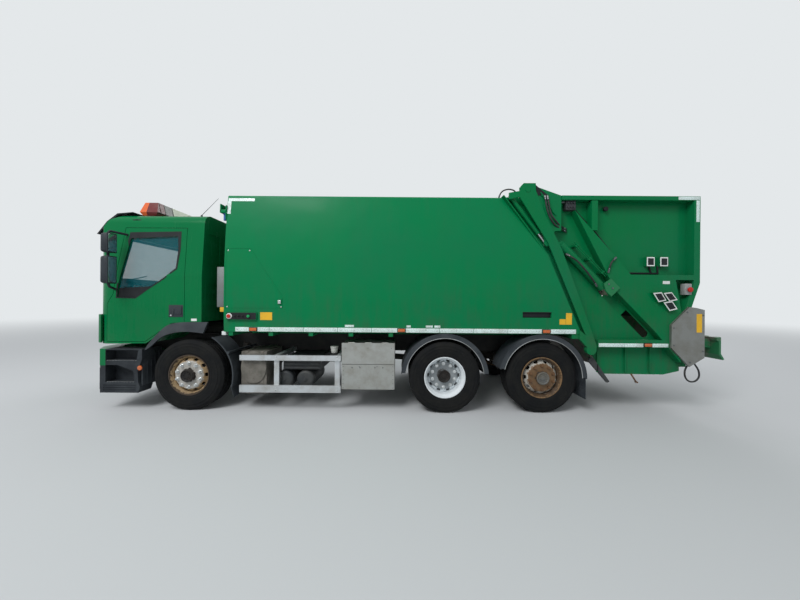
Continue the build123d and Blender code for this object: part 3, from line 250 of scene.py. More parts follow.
# Brake chambers behind the driven and the trailing hubs, and shock absorbers at the front:
# pressed steel, black, clamped round the middle.
fittings = []
for side in (-1, 1):
    fittings += [(spot(0.36, 0.46, -side * 0.5), spot(0.42, 0.70, -side * 0.5), 0.035, 0.004),
                 (spot(0.42, 0.70, -side * 0.5), spot(0.46, 0.86, -side * 0.5), 0.045, 0.004)]
    for axle in ("drive_axle", "tag_axle"):
        low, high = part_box(axle)
        chamber = Vector(((low.x + high.x) / 2 - 0.06, side * 0.56, 0.52))
        fittings += [(chamber, chamber + Vector((-0.15, 0, 0.01)), 0.078, 0.02),
                     (chamber + Vector((-0.07, 0, 0.005)), chamber + Vector((-0.09, 0, 0.006)), 0.086, 0.004)]
fitted("brake_chambers", axle_paint, "chassis", fittings, 40)


# Tyres: steel-cord radials of black rubber, with four grooves round the tread and notches
# across it. Sun and road film have greyed them in patches, and the skin has a fine grain
# that shows at about 7 mm.
def tyre_rubber():
    made, tree, place = start_material("tyre_rubber", Roughness=0.82, Specular_IOR_Level=0.2)
    shade = filmed(tree, place, "#0F1113", "#262521", 5, 7, 0.7, 0.4, 0.72, 0.5)[2]
    grain = add(tree, "TexNoise", {"Vector": place, "Scale": 140, "Detail": 3, "Roughness": 0.6})
    return finished(made, shade, (grain, 0.3, 0.0015))


def turned(mesh, profile, centre, axis, steps=72, ring=True):
    """Turns a profile of (distance along the axis, radius) round an axis through a centre."""
    axis = Vector(axis).normalized()
    radial = axis.orthogonal().normalized()
    corners = [mesh.verts.new(Vector(centre) + axis * along + radial * radius) for along, radius in profile]
    pairs = list(zip(corners, corners[1:])) + ([(corners[-1], corners[0])] if ring else [])
    edges = [mesh.edges.new(pair) for pair in pairs]
    bmesh.ops.spin(mesh, geom=corners + edges, cent=centre, axis=axis, angle=2 * math.pi, steps=steps, use_merge=True)


rubber = tyre_rubber()
hub_height, tread_radius = 0.5, 0.4985
side_wall = ((0.022, 0.2885), (0.014, 0.296), (0.006, 0.312), (0.003, 0.330), (0.0055, 0.334), (0.0015, 0.346),
             (0.0, 0.375), (0.0022, 0.402), (0.0005, 0.406), (0.0005, 0.413), (0.0045, 0.418), (0.0085, 0.442),
             (0.0065, 0.449), (0.013, 0.459), (0.021, 0.478), (0.030, 0.4925), (0.042, tread_radius))
groove_places = (0.22, 0.41, 0.59, 0.78)
groove_depth, groove_half, groove_slope, notch_depth = 0.013, 0.0055, 0.002, 0.009
twin_gap, tread_steps = 0.042, 96


def tyre_piece(node, body):
    """A tyre, or a pair of twins, with its tread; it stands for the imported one."""
    low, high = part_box(node)
    outward = -1 if low.y < 0 else 1
    whole = high.y - low.y
    twins = whole > 0.5
    width = (whole - twin_gap) / 2 if twins else whole
    mesh = bmesh.new()
    for start in ((0, width + twin_gap) if twins else (0,)):
        centre = Vector(((low.x + high.x) / 2, outward * (max(abs(low.y), abs(high.y)) - start), hub_height))
        grooves = [(share * width + off, tread_radius - depth) for share in groove_places
                   for off, depth in ((-groove_half - groove_slope, 0), (-groove_half, groove_depth),
                                      (groove_half, groove_depth), (groove_half + groove_slope, 0))]
        far_wall = [(width - along, radius) for along, radius in reversed(side_wall)]
        known = set(mesh.faces)
        turned(mesh, [*side_wall, *grooves, *far_wall], centre, (0, -outward, 0), steps=tread_steps)
        notched = []
        for face in set(mesh.faces) - known:
            arm = face.calc_center_median() - centre
            along, reach = abs(arm.y), math.hypot(arm.x, arm.z)
            turn = round(math.atan2(arm.z, arm.x) / (2 * math.pi) * tread_steps - 0.5)
            edge_rib = along < groove_places[0] * width or along > groove_places[3] * width
            if reach > tread_radius - 0.002 and (turn % 3 == 0 if edge_rib else twins and turn % 4 == 0):
                notched.append(face)
        for face in bmesh.ops.extrude_discrete_faces(mesh, faces=notched)["faces"]:
            inward = centre - face.calc_center_median()
            inward.y = 0
            bmesh.ops.translate(mesh, verts=face.verts, vec=inward.normalized() * notch_depth)
    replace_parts(own_piece(node + "_treaded", mesh, rubber, body, smooth=28), node)


# Disc wheels: pressed steel in silver enamel, ten studs each, with a turned hub cap of eight
# bolts. The drive wheels are the newest; the front ones are scuffed and dull, and those of
# the trailing axle have rusted to an even brown.
def worn_disc(name, behind, zones, pitting=0.55, roughness=0.55):
    """A disc worn ring by ring outwards from its hub, the rings' edges frayed by about 2 cm."""
    made, tree, place = start_material(name, Roughness=roughness)
    from_hub = add(tree, "Mapping", {"Vector": place, "Location": (-front_x - behind, 0, -hub_height),
                                     "Scale": (1, 0, 1)})
    reach = add(tree, "VectorMath", {0: from_hub}, operation="LENGTH")
    cloud = add(tree, "TexNoise", {"Vector": place, "Scale": 24, "Detail": 7, "Roughness": 0.7})
    fray = add(tree, "MapRange", {"Value": cloud, "From Min": 0.3, "From Max": 0.7, "To Min": -0.022, "To Max": 0.022})
    reach = add(tree, "Math", {0: reach, 1: fray}, operation="ADD")
    shade = zones[0][1]
    for start, colour in zones[1:]:
        past = add(tree, "MapRange", {"Value": reach, "From Min": start - 0.003, "From Max": start + 0.003})
        shade = add(tree, "Mix", {"Factor": past, "A": shade, "B": colour}, data_type="RGBA")
    return finished(made, filmed(tree, place, shade, "#4B3523", 60, 5, 0.7, 0.5, 0.7, pitting)[2], (cloud, 0.4, 0.003))


def plated_steel(name, colour, roughness):
    """Zinc-plated or chromed steel, mirror-bright under a thin patchy film of road dust."""
    made, tree, place = start_material(name, Metallic=0.9)
    cloud, film, shade = filmed(tree, place, colour, "#7C766A", 30, 5, 0.5, 0.45, 0.75, 0.5)
    rough = add(tree, "MapRange", {"Value": film, "To Min": roughness, "To Max": roughness + 0.5})
    return finished(made, shade, Roughness=rough)


zinc_plate = plated_steel("zinc_plate", "#D6DADB", 0.25)
fitting_steel = plated_steel("fitting_steel", "#6F7477", 0.35)
rusty_steel = road_paint("rusty_steel", "#5A4331", "#7A5A3C", rust=0.9, roughness=0.75)
hub_paint = road_paint("hub_paint", "#121212", "#2E2822", rust=0.5, roughness=0.6)
grey_cap_paint = road_paint("grey_cap_paint", "#5A5C5C", "#77705F", rust=0.5, roughness=0.55)

drive_behind, tag_behind = 3.6, 4.97
stud_circle, cap_bolt_circle = 0.1675, 0.048
cap_profile = ((0.0005, 0.0), (0.0005, 0.088), (-0.004, 0.090), (-0.012, 0.086), (-0.014, 0.076), (-0.006, 0.070),
               (-0.003, 0.064), (-0.003, 0.032), (-0.008, 0.028), (-0.010, 0.0))
front_disc = worn_disc("scuffed_front_disc", 0.0, ((0, "#2A2622"), (0.098, "#A8A6A0"), (0.198, "#A08A69"),
                                                   (0.262, "#3A2F24")))
drive_disc = worn_disc("silver_wheel_enamel", drive_behind, ((0, "#4A4744"), (0.088, "#8C9295"), (0.205, "#DCE2E5")),
                       0.12, 0.45)
tag_disc = worn_disc("rusted_tag_disc", tag_behind, ((0, "#3A3733"), (0.090, "#6E5438"), (0.200, "#B4B2AA"),
                                                     (0.236, "#4C3B2A"), (0.272, "#7D6242")))


def round_hub(centre, count, radius, turn=0.0):
    """Points evenly round a wheel's centre."""
    angles = [2 * math.pi * (index + turn) / count for index in range(count)]
    return [centre + radius * Vector((math.cos(angle), 0, math.sin(angle))) for angle in angles]


# the axle, its disc's finish, how far in the disc and the hub's end lie from the tyre's wall,
# and the finishes of nuts and cap
for axle, wheel_finish, disc_depth, hub_end, nut_finish, cap_finish in (
        ("front", front_disc, 0.020, -0.020, zinc_plate, hub_paint),
        ("drive", drive_disc, 0.150, 0.090, zinc_plate, hub_paint),
        ("tag", tag_disc, 0.020, -0.020, rusty_steel, grey_cap_paint)):
    for side, outward in (("left", -1), ("right", 1)):
        body = f"wheel_{axle}_{side}"
        plural = "s" if axle == "drive" else ""
        tyre_node = f"{axle}_tyre{plural}_{side}"
        tyre_piece(tyre_node, body)
        give_finish(wheel_finish, f"{axle}_rim{plural}_{side}")
        low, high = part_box(tyre_node)
        centre = Vector(((low.x + high.x) / 2, outward * max(abs(low.y), abs(high.y)), hub_height))
        inward = Vector((0, -outward, 0))
        nuts = []
        for foot in round_hub(centre + inward * disc_depth, 10, stud_circle, 0.5):
            nuts += [(foot + inward * 0.001, foot - inward * 0.005, 0.026, 0.001, 20),
                     (foot - inward * 0.005, foot - inward * 0.029, 0.019, 0.002, 6),
                     (foot - inward * 0.029, foot - inward * 0.038, 0.0105, 0.002, 12)]
        fitted(f"{axle}_nuts_{side}", nut_finish, body, nuts)
        cap = bmesh.new()
        face = centre + inward * hub_end
        turned(cap, cap_profile, face, inward, steps=48, ring=False)
        bmesh.ops.remove_doubles(cap, verts=cap.verts, dist=0.0001)
        for bolt in round_hub(face - inward * 0.002, 8, cap_bolt_circle):
            round_bar(cap, bolt, bolt - inward * 0.010, 0.0085, 0.001, steps=6)
        own_piece(f"{axle}_hub_cap_{side}", cap, cap_finish, body)


# Side guards: two extruded aluminium planks a side on pressed posts. Mill finish drawn
# lengthwise, clouded by road film, with brown rust water below the bolts.
def bare_metal(name, colour, film, roughness, grain=(4, 60, 240)):
    """Sheet or bar that shows its metal; the grain is how fine its drawing lines are each way."""
    made, tree, place = start_material(name, Metallic=0.8)
    drawn = add(tree, "Mapping", {"Vector": place, "Scale": grain})
    brushed = add(tree, "TexNoise", {"Vector": drawn, "Scale": 3, "Detail": 4, "Roughness": 0.6})
    shade = filmed(tree, place, colour, film, 5, 7, 0.65, 0.42, 0.68, 0.45)[2]
    rough = add(tree, "MapRange", {"Value": brushed, "To Min": roughness, "To Max": roughness + 0.25})
    return finished(made, shade, (brushed, 0.12, 0.001), Roughness=rough)


mill_aluminium = bare_metal("mill_aluminium", "#C6CBCE", "#857A66", 0.4)
give_finish(mill_aluminium, "side_guards")
fitted("side_guard_bolts", zinc_plate, "chassis",
       [stub(behind, up, side * 1.2045, side * 1.210, 0.011, 0.002, 12)
        for side, posts in ((1, (1.225, 2.085)), (-1, (0.795, 2.735)))
        for behind in posts for up in (0.295, 0.337, 0.735, 0.770)])

# Silencer, fuel tank and air tanks: drawn and rolled steel on clamped straps. The silencer's
# heat has burnt its paint to a chalky grey-brown; the tanks keep theirs, under dust.
silencer_paint = road_paint("burnt_silencer_paint", "#5C5A53", "#86817A", rust=0.5, roughness=0.7)
give_finish(silencer_paint, "silencer")
drum_end = bmesh.new()
drum_behind, drum_up = 0.880, 0.600
round_bar(drum_end, *stub(drum_behind, drum_up, 1.110, 1.140, 0.235, 0.014, 48))
bmesh.ops.scale(drum_end, vec=(0.78, 1, 1), space=Matrix.Translation(-spot(drum_behind, drum_up, 1.130)),
                verts=drum_end.verts)
for up in (0.435, 0.765):
    round_bar(drum_end, *stub(drum_behind, up, 1.138, 1.146, 0.010, 0.002, 6))
own_piece("silencer_end", drum_end, silencer_paint, "chassis")
tank_paint = road_paint("tank_paint", "#2B2F33", "#4A4B48", rust=0.15, roughness=0.5)
give_finish(tank_paint, "air_tanks")
give_finish(mill_aluminium, "fuel_tank")
tank_trim = bmesh.new()
for behind, up in ((1.308, 0.422), (1.609, 0.424)):
    round_bar(tank_trim, *stub(behind, up, 1.099, 1.106, 0.030, 0.002))
    round_bar(tank_trim, *stub(behind, up, 1.106, 1.118, 0.016, 0.002, 6))
    for across in (0.62, 0.98):
        turned(tank_trim, ((-0.012, 0.1305), (-0.012, 0.1335), (0.012, 0.1335), (0.012, 0.1305)),
               spot(behind, up, across), (0, 1, 0), steps=48)
own_piece("tank_straps", tank_trim, tank_paint, "chassis")
fitted("fuel_filler_cap", tank_paint, "chassis",
       [(spot(1.25, 0.88, -0.85), spot(1.25, 0.915, -0.85), 0.052, 0.004, 32),
        (spot(1.25, 0.915, -0.85), spot(1.25, 0.94, -0.85), 0.058, 0.006, 12)])


# Air filter cup beside the toolbox: a white blow-moulded bowl under a clamped lid.
def moulded_plastic(name, colour, worn, roughness=0.55):
    """Through-coloured polypropylene, greyed by sun in patches; its grain shows at 4 mm."""
    made, tree, place = start_material(name, Roughness=roughness, Specular_IOR_Level=0.25)
    shade = filmed(tree, place, colour, worn, 4, 6, 0.6, 0.35, 0.7)[2]
    grain = add(tree, "TexVoronoi", {"Vector": place, "Scale": 260})
    return finished(made, shade, (grain, 0.35, 0.001))


white_plastic = moulded_plastic("white_plastic", "#D3D6D4", "#B9BBB4")
dark_plastic = moulded_plastic("dark_plastic", "#23282D", "#343A3F")
fitted("filter_cup", white_plastic, "chassis",
       [(spot(2.009, 0.800, 1.02), spot(2.009, 0.872, 1.02), 0.044, 0.006, 32, 0.052),
        (spot(2.009, 0.872, 1.02), spot(2.009, 0.894, 1.02), 0.057, 0.004, 32),
        (spot(2.009, 0.80, 1.02), (0.03, 0.03, 0.03))])
fitted("filter_bracket", chassis_paint, "chassis", [(spot(2.025, 0.79, 1.06), (0.10, 0.22, 0.006), 0.002)], None)

# Toolbox: a folded box of bright stainless sheet with a door below and a hinged lid above,
# riveted along its edges. The sheet was brushed upwards; road film clouds its lower half.
brushed_stainless = bare_metal("brushed_stainless", "#A9ABA8", "#7F7969", 0.38, grain=(90, 60, 2))
give_finish(brushed_stainless, "toolbox", "toolbox_lid")
box_face, lid_face = 1.206, 1.212
rivets = [(behind, up) for behind in (2.175, 2.40, 2.65, 2.874) for up in (0.34, 0.64)]
rivets += [(behind, up) for up in (0.40, 0.46, 0.52, 0.58) for behind in (2.175, 2.874)]
fitted("toolbox_rivets", fitting_steel, "chassis",
       [stub(behind, up, box_face - 0.001, box_face + 0.003, 0.006, 0.001, 12) for behind, up in rivets]
       + [stub(behind, 0.625, box_face - 0.001, box_face + 0.006, 0.009, 0.002, 12)
          for behind in (2.30, 2.41, 2.62, 2.73)])
fitted("toolbox_lid_rivets", fitting_steel, "toolbox_lid",
       [stub(behind, 0.90, lid_face - 0.001, lid_face + 0.003, 0.006, 0.001, 12) for behind in (2.20, 2.52, 2.85)])


# Mudguards: arcs of black polypropylene with a rolled pale edge and a lip folded down from
# it, and ribbed rubber flaps that hang behind the front and the last wheels.
guard_plastic = moulded_plastic("guard_plastic", "#2E3338", "#43484C", roughness=0.62)
give_finish(guard_plastic, "mudguards")
edge_trim = moulded_plastic("pale_edge_trim", "#A9ADAF", "#7D7F7C", roughness=0.45)
bead_radius, lip_radius = 0.5485, 0.581
guard_lips = bmesh.new()
for behind, start, end in ((drive_behind, 6, 174), (tag_behind, 1, 167)):
    tilt, sweep = Matrix.Rotation(-math.radians(start), 4, "Y"), math.radians(end - start)
    beads = bmesh.new()
    for side in (-1, 1):
        hub = Vector((front_x + behind, side * 1.2435, hub_height))
        ring = bmesh.ops.create_circle(beads, segments=10, radius=0.0045, cap_ends=True,
                                       matrix=Matrix.Translation(hub + tilt @ Vector((bead_radius, 0, 0))) @ tilt)
        bmesh.ops.spin(beads, geom=list({f for v in ring["verts"] for f in v.link_faces}), cent=hub,
                       axis=(0, -1, 0), angle=sweep, steps=60)
        hub.y = side * 1.240
        lip = bmesh.ops.create_grid(guard_lips, x_segments=1, y_segments=1, size=0.5,
                                    matrix=Matrix.Translation(hub + tilt @ Vector((lip_radius, 0, -0.0005))) @ tilt
                                    @ Matrix.Diagonal((0.066, 0.006, 1, 1)))
        bmesh.ops.spin(guard_lips, geom=list({f for v in lip["verts"] for f in v.link_faces}), cent=hub,
                       axis=(0, -1, 0), angle=sweep, steps=60)
    own_piece(f"guard_edge_{behind:.0f}", beads, edge_trim, "chassis", smooth=50)
own_piece("guard_lips", guard_lips, guard_plastic, "chassis")
fitted("flap_ribs", guard_plastic, "chassis",
       [(spot(5.570, up, -side * 1.05), (0.012, 0.26, 0.010), 0.003)
        for side in (-1, 1) for up in (0.235, 0.275, 0.315, 0.355, 0.395, 0.435)])


# Wheel arch flares: one curved moulding a side, of the mudguards' black polypropylene,
# clipped round the edge of the cab's arch.
def smooth_line(points, steps=5):
    """Points on a smooth line through the given ones."""
    line, ends = [], [points[0], *points, points[-1]]
    for four in zip(ends, ends[1:], ends[2:], ends[3:]):
        for t in [step / steps for step in range(steps)]:
            line.append(tuple(0.5 * (2 * q + (r - p) * t + (2 * p - 5 * q + 4 * r - s) * t ** 2
                                     + (3 * q - p - 3 * r + s) * t ** 3) for p, q, r, s in zip(*four)))
    return line + [points[-1]]


def thicken(mesh, faces, push):
    """Gives open faces a thickness, pushed the way given."""
    pushed = bmesh.ops.extrude_face_region(mesh, geom=faces)["geom"]
    bmesh.ops.translate(mesh, verts=[v for v in pushed if isinstance(v, bmesh.types.BMVert)], vec=push)


flare_outer = [(-0.581, 0.923), (-0.472, 1.051), (-0.335, 1.180), (-0.218, 1.228), (-0.022, 1.247), (0.262, 1.247)]
flare_inner = [(-0.601, 0.852), (-0.531, 0.894), (-0.375, 1.031), (-0.218, 1.092), (-0.022, 1.114), (0.214, 1.093)]
flares = bmesh.new()
for side in (1, -1):
    edges = []
    for outline, out in ((flare_outer, 1.206), (flare_inner, 1.230)):
        line = [flares.verts.new(spot(behind, up, side * out)) for behind, up in smooth_line(outline)]
        edges += [flares.edges.new(pair) for pair in zip(line, line[1:])]
    thicken(flares, bmesh.ops.bridge_loops(flares, edges=edges)["faces"], (0, side * 0.030, 0))
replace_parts(own_piece("curved_arch_flares", flares, guard_plastic, "cab"), "arch_flares")

# Front bumper and steps: one grained plastic moulding, its upper band painted body green.
# The steps carry chequered treads, and the lamps sit in sunk bowls behind clear lenses.
cab_green, cab_green_faded = "#006B3C", "#04703F"


def bumper_finish():
    """Grained plastic, with satin green paint on the band above the chin and ahead of the steps."""
    made, tree, place = start_material("bumper_plastic", Specular_IOR_Level=0.2)
    above = add(tree, "Math", {0: add(tree, "SeparateXYZ", {0: place}, "Z"), 1: 0.6345}, operation="GREATER_THAN")
    ahead = add(tree, "Math", {0: add(tree, "SeparateXYZ", {0: place}, "X"), 1: front_x - 1.152},
                operation="LESS_THAN")
    banded = add(tree, "Math", {0: above, 1: ahead}, operation="MULTIPLY")
    cloud, aged, plastic = filmed(tree, place, "#23272C", "#3A3F43", 4, 7, 0.62, 0.38, 0.68)
    paint = add(tree, "Mix", {"Factor": aged, "A": cab_green, "B": cab_green_faded}, data_type="RGBA")
    shade = add(tree, "Mix", {"Factor": banded, "A": plastic, "B": paint}, data_type="RGBA")
    rough = add(tree, "MapRange", {"Value": banded, "To Min": 0.58, "To Max": 0.32})
    grain = add(tree, "TexVoronoi", {"Vector": place, "Scale": 260})
    depth = add(tree, "MapRange", {"Value": banded, "To Min": 0.35, "To Max": 0.02})
    return finished(made, shade, (grain, depth, 0.001), Roughness=rough)


give_finish(bumper_finish(), "front_bumper")


def lamp_lens(name, colour, **values):
    """A moulded acrylic lens: clear-topped colour over fluting about 6 mm wide."""
    made, tree, place = start_material(name, Roughness=0.12, **values)
    shade = filmed(tree, place, colour, "#8C8778", 18, 4, 0.5, 0.45, 0.8, 0.3)[2]
    flutes = add(tree, "TexWave", {"Vector": place, "Scale": 8, "Distortion": 0}, "Fac", bands_direction="X")
    return finished(made, shade, (flutes, 0.4, 0.002))


amber_lens = lamp_lens("amber_lens", "#C4602A")
red_lens = lamp_lens("red_lens", "#8E1B1B")
clear_lens = lamp_lens("clear_lens", "#D9DEE0", Alpha=0.35)
reflector = plated_steel("lamp_reflector", "#E4E7E8", 0.12)


def bumper_face(out):
    """How far behind the front axle the bumper's upright face lies, so far from its middle."""
    return -1.425 + max(0.0, abs(out) - 0.7) * 0.1


bowl_ring = 0.060
bowls, lenses = bmesh.new(), bmesh.new()
for side in (-1, 1):
    for out in (0.725, 0.880):
        face = spot(bumper_face(out) + 0.017, 0.7395, side * out)
        turned(bowls, ((0.0, bowl_ring), (-0.010, bowl_ring + 0.004), (-0.012, bowl_ring), (-0.004, bowl_ring * 0.7),
                       (-0.001, bowl_ring * 0.35), (-0.010, bowl_ring * 0.3), (-0.014, 0.0)), face, (1, 0, 0),
               steps=40, ring=False)
    for vert in bmesh.ops.create_grid(lenses, x_segments=8, y_segments=3, size=0.5)["verts"]:
        out = side * (0.8025 + vert.co.x * 0.311)
        vert.co = spot(bumper_face(out) + 0.002, 0.7365 + vert.co.y * 0.173, out)
bmesh.ops.remove_doubles(bowls, verts=bowls.verts, dist=0.0001)
thicken(lenses, lenses.faces[:], (0.003, 0, 0))
own_piece("headlamp_bowls", bowls, reflector, "chassis", smooth=40)
own_piece("headlamp_lenses", lenses, clear_lens, "chassis", smooth=40)
fitted("arch_liners", guard_plastic, "chassis",
       [part for side in (-1, 1)
        for part in ((spot(-0.672, 0.600, side * 1.010), (0.020, 0.350, 0.520)),
                     *((spot(-0.659, 0.580, side * across), (0.014, 0.012, 0.440))
                       for across in (0.90, 0.97, 1.04, 1.11)))])
fitted("step_treads", mill_aluminium, "chassis",
       [(spot(-1.128 + bar * 0.040, up, side * 1.205), (0.012, 0.036, 0.006), 0.002)
        for side in (-1, 1) for up, bars in ((0.4035, 10), (0.7035, 11)) for bar in range(bars)])
fitted("step_marker_lamps", amber_lens, "chassis",
       [stub(-0.668, 0.602, side * 1.218, side * 1.234, 0.034, 0.008, 32) for side in (-1, 1)])


# Cab shell and doors: pressed steel, spot-welded and seam-sealed, in baked two-coat enamel.
# It is glossy and even, with soft waves a hand wide in the large panels, faint rain
# streaks, and dust that thickens towards the sills.
def weathering(tree, place, low, high):
    """How dirty a point is, from 0 to 1: streaks that run down, more of them near the road."""
    stretched = add(tree, "Mapping", {"Vector": place, "Scale": (7, 7, 0.6)})
    streak = add(tree, "TexNoise", {"Vector": stretched, "Scale": 2.2, "Detail": 5, "Roughness": 0.62})
    cloud = add(tree, "TexNoise", {"Vector": place, "Scale": 3.5, "Detail": 6, "Roughness": 0.6})
    height = add(tree, "SeparateXYZ", {0: place}, "Z")
    near = add(tree, "MapRange", {"Value": height, "From Min": low, "From Max": high, "To Min": 1.0, "To Max": 0.0},
               interpolation_type="SMOOTHSTEP")
    both = add(tree, "Math", {0: streak, 1: cloud}, operation="MULTIPLY")
    shaped = add(tree, "MapRange", {"Value": both, "From Min": 0.17, "From Max": 0.42})
    lifted = add(tree, "Math", {0: near, 1: 0.2}, operation="ADD")
    return add(tree, "Math", {0: shaped, 1: lifted}, operation="MULTIPLY", use_clamp=True)


road_film = "#3F5540"


def enamel(name, paint, faded, gloss=0.28, low=0.5, high=2.2, dirt=0.45, wave=0.012):
    """Baked or sprayed enamel, chalked in broad patches, with dirt over it and waves in it."""
    made, tree, place = start_material(name, Coat_Weight=0.06, Coat_Roughness=0.12, Specular_IOR_Level=0.08)
    base = filmed(tree, place, paint, faded, 0.9, 3, 0.5, 0.35, 0.65)[2]
    soiled = weathering(tree, place, low, high)
    share = add(tree, "Math", {0: soiled, 1: dirt}, operation="MULTIPLY")
    shade = add(tree, "Mix", {"Factor": share, "A": base, "B": road_film}, data_type="RGBA")
    rough = add(tree, "MapRange", {"Value": soiled, "To Min": gloss, "To Max": 0.7})
    ripple = add(tree, "TexNoise", {"Vector": place, "Scale": 2.6, "Detail": 1})
    return finished(made, shade, (ripple, 0.5, wave), Roughness=rough)


cab_enamel = enamel("cab_enamel", cab_green, cab_green_faded, gloss=0.22, high=1.8, dirt=0.3, wave=0.006)
give_finish(cab_enamel, "cab_shell", "door_left", "door_right")


def cab_nose(out, up):
    """How far behind the front axle the cab's front skin lies."""
    bulge = 0.028 * ((up - 1.345) / (0.414 if up < 1.345 else 0.305)) ** 2
    return -1.428 + bulge + 0.0793 * out ** 2


grille = bmesh.new()
for up in (1.0, 1.1, 1.2, 1.3, 1.4):
    for vert in bmesh.ops.create_grid(grille, x_segments=28, y_segments=3, size=0.5)["verts"]:
        out, height = vert.co.x * 1.116, up + 0.031 + vert.co.y * 0.060
        vert.co = spot(cab_nose(out, height) + 0.014 - 0.010 * (1 - abs(vert.co.y * 2)), height, out)
thicken(grille, grille.faces[:], (0.004, 0, 0))
own_piece("grille_louvres", grille, dark_plastic, "cab", smooth=40)

# Door trim: a black rubber run round each window, a smoked lower corner, and a black pull
# handle with its lock, seated in a moulded bezel.
seal_rubber = moulded_plastic("seal_rubber", "#15181A", "#202427", roughness=0.6)
window_run = [(-0.880, 2.517), (-0.150, 2.533), (-0.148, 2.260), (-0.180, 1.995), (-0.360, 1.850), (-0.612, 1.680),
              (-0.757, 1.573), (-1.036, 1.578), (-1.022, 1.761)]
window_edge = [(-0.862, 2.430), (-0.195, 2.464), (-0.180, 2.260), (-0.201, 2.007), (-0.370, 1.865), (-0.624, 1.694),
               (-0.764, 1.587), (-1.018, 1.592), (-1.004, 1.761)]


def plate_piece(mesh, outline, out, thickness, side=1):
    """Adds a flat plate from its corners (behind, up), outwards from that far out."""
    face = mesh.faces.new([mesh.verts.new(spot(behind, up, side * out)) for behind, up in outline])
    thicken(mesh, [face], (0, side * thickness, 0))


def plates(name, material, body, outlines, out, thickness, sides=(1,), smooth=None):
    """One piece of flat plates on one side or both."""
    mesh = bmesh.new()
    for side in sides:
        for outline in outlines:
            plate_piece(mesh, outline, out, thickness, side)
    return own_piece(name, mesh, material, body, smooth)


for name, side in (("left", 1), ("right", -1)):
    door = f"door_{name}"
    run = bmesh.new()
    loops = []
    for outline in (window_run, window_edge):
        # the cab's side leans in by 0.08 m a metre above the sill at 1.9 m
        ring = [run.verts.new(spot(behind, up, side * (1.202 - 0.08 * max(0.0, up - 1.9)))) for behind, up in outline]
        loops += [run.edges.new(pair) for pair in zip(ring, ring[1:] + ring[:1])]
    thicken(run, bmesh.ops.bridge_loops(run, edges=loops)["faces"], (0, side * 0.010, 0))
    own_piece(f"window_run_{name}", run, seal_rubber, door, smooth=30)
    plates(f"window_corner_{name}", seal_rubber, door,
           [[(-1.006, 1.722), (-0.560, 1.745), (-0.624, 1.696), (-0.764, 1.589), (-1.017, 1.594)]], 1.1865, 0.003,
           (side,))
    fitted(f"door_handle_{name}", dark_plastic, door,
           [(spot(-0.1875, 1.4015, side * 1.1995), (0.203, 0.009, 0.171)),
            (spot(-0.150, 1.410, side * 1.206), (0.098, 0.012, 0.118), 0.005),
            (spot(-0.222, 1.385, side * 1.205), (0.022, 0.010, 0.085))])
    fitted(f"door_lock_{name}", zinc_plate, door, [stub(-0.255, 1.340, side * 1.202, side * 1.207, 0.011, 0.001)])


# Windscreen and door glass: toughened glass, tinted green-grey, bonded in behind a black
# ceramic border. It reflects the sky and lets the dark cab show through.
def tinted_glass():
    made, tree, place = start_material("tinted_glass", IOR=1.45, Alpha=0.3, Base_Color="#1C6E78")
    cloud = add(tree, "TexNoise", {"Vector": place, "Scale": 3, "Detail": 4})
    return finished(made, Roughness=add(tree, "MapRange", {"Value": cloud, "To Min": 0.01, "To Max": 0.06}))


give_finish(tinted_glass(), "windscreen", "door_glass_left", "door_glass_right")
screen_low, screen_high = 1.68, 2.52
wipers = []
for pivot, tip in ((0.86, 0.30), (0.05, -0.52), (-0.62, -0.95)):
    middle = (pivot + tip) / 2
    for ends, radius in ((((pivot, 1.655), (middle, 1.86)), 0.009),
                         (((middle + 0.30, 1.80), (middle - 0.28, 1.95)), 0.008)):
        # each end lies 12 mm off the raked screen
        wipers.append((*(spot(-1.398 + (up - screen_low) * 0.107 / (screen_high - screen_low), up,
                              max(-1.0, min(1.0, out))) for out, up in ends), radius, 0, 10))
    wipers.append((spot(-1.398, 1.655, pivot), spot(-1.375, 1.655, pivot), 0.016, 0.003))
fitted("wipers", seal_rubber, "cab", wipers, 40)

# Cab trim: an oval vent under the roof's edge, a whip aerial on a rubber foot, tinted plastic
# for the visor over the screen, and a blank white label on the rear corner.
give_finish(moulded_plastic("visor_plastic", "#16191C", "#24282B", roughness=0.3), "sun_visor")
fitted("roof_vents", seal_rubber, "cab",
       [part for side in (-1, 1)
        for part in (stub(-0.81, 2.695, side * 1.105, side * 1.131, 0.016, 0.003, 32),
                     (spot(-0.81, 2.695, side * 1.120), (0.13, 0.022, 0.026), 0.009))], 40)
fitted("aerial", seal_rubber, "cab",
       [(spot(0.018, 2.770, 0.98), spot(0.022, 2.815, 0.98), 0.020, 0.004, 24, 0.010),
        (spot(0.021, 2.810, 0.98), spot(0.268, 3.063, 0.98), 0.004, 0, 8, 0.002)], 40)
label_white = moulded_plastic("blank_label_film", "#E3E6E4", "#CDD0CC", roughness=0.35)


def rectangle(behind, low, end, high):
    """Corners of an upright rectangle, from its lower front one."""
    return [(behind, low), (end, low), (end, high), (behind, high)]


plates("cab_label", label_white, "cab", [rectangle(0.027, 1.262, 0.106, 1.296)], 1.2015, 0.0015)

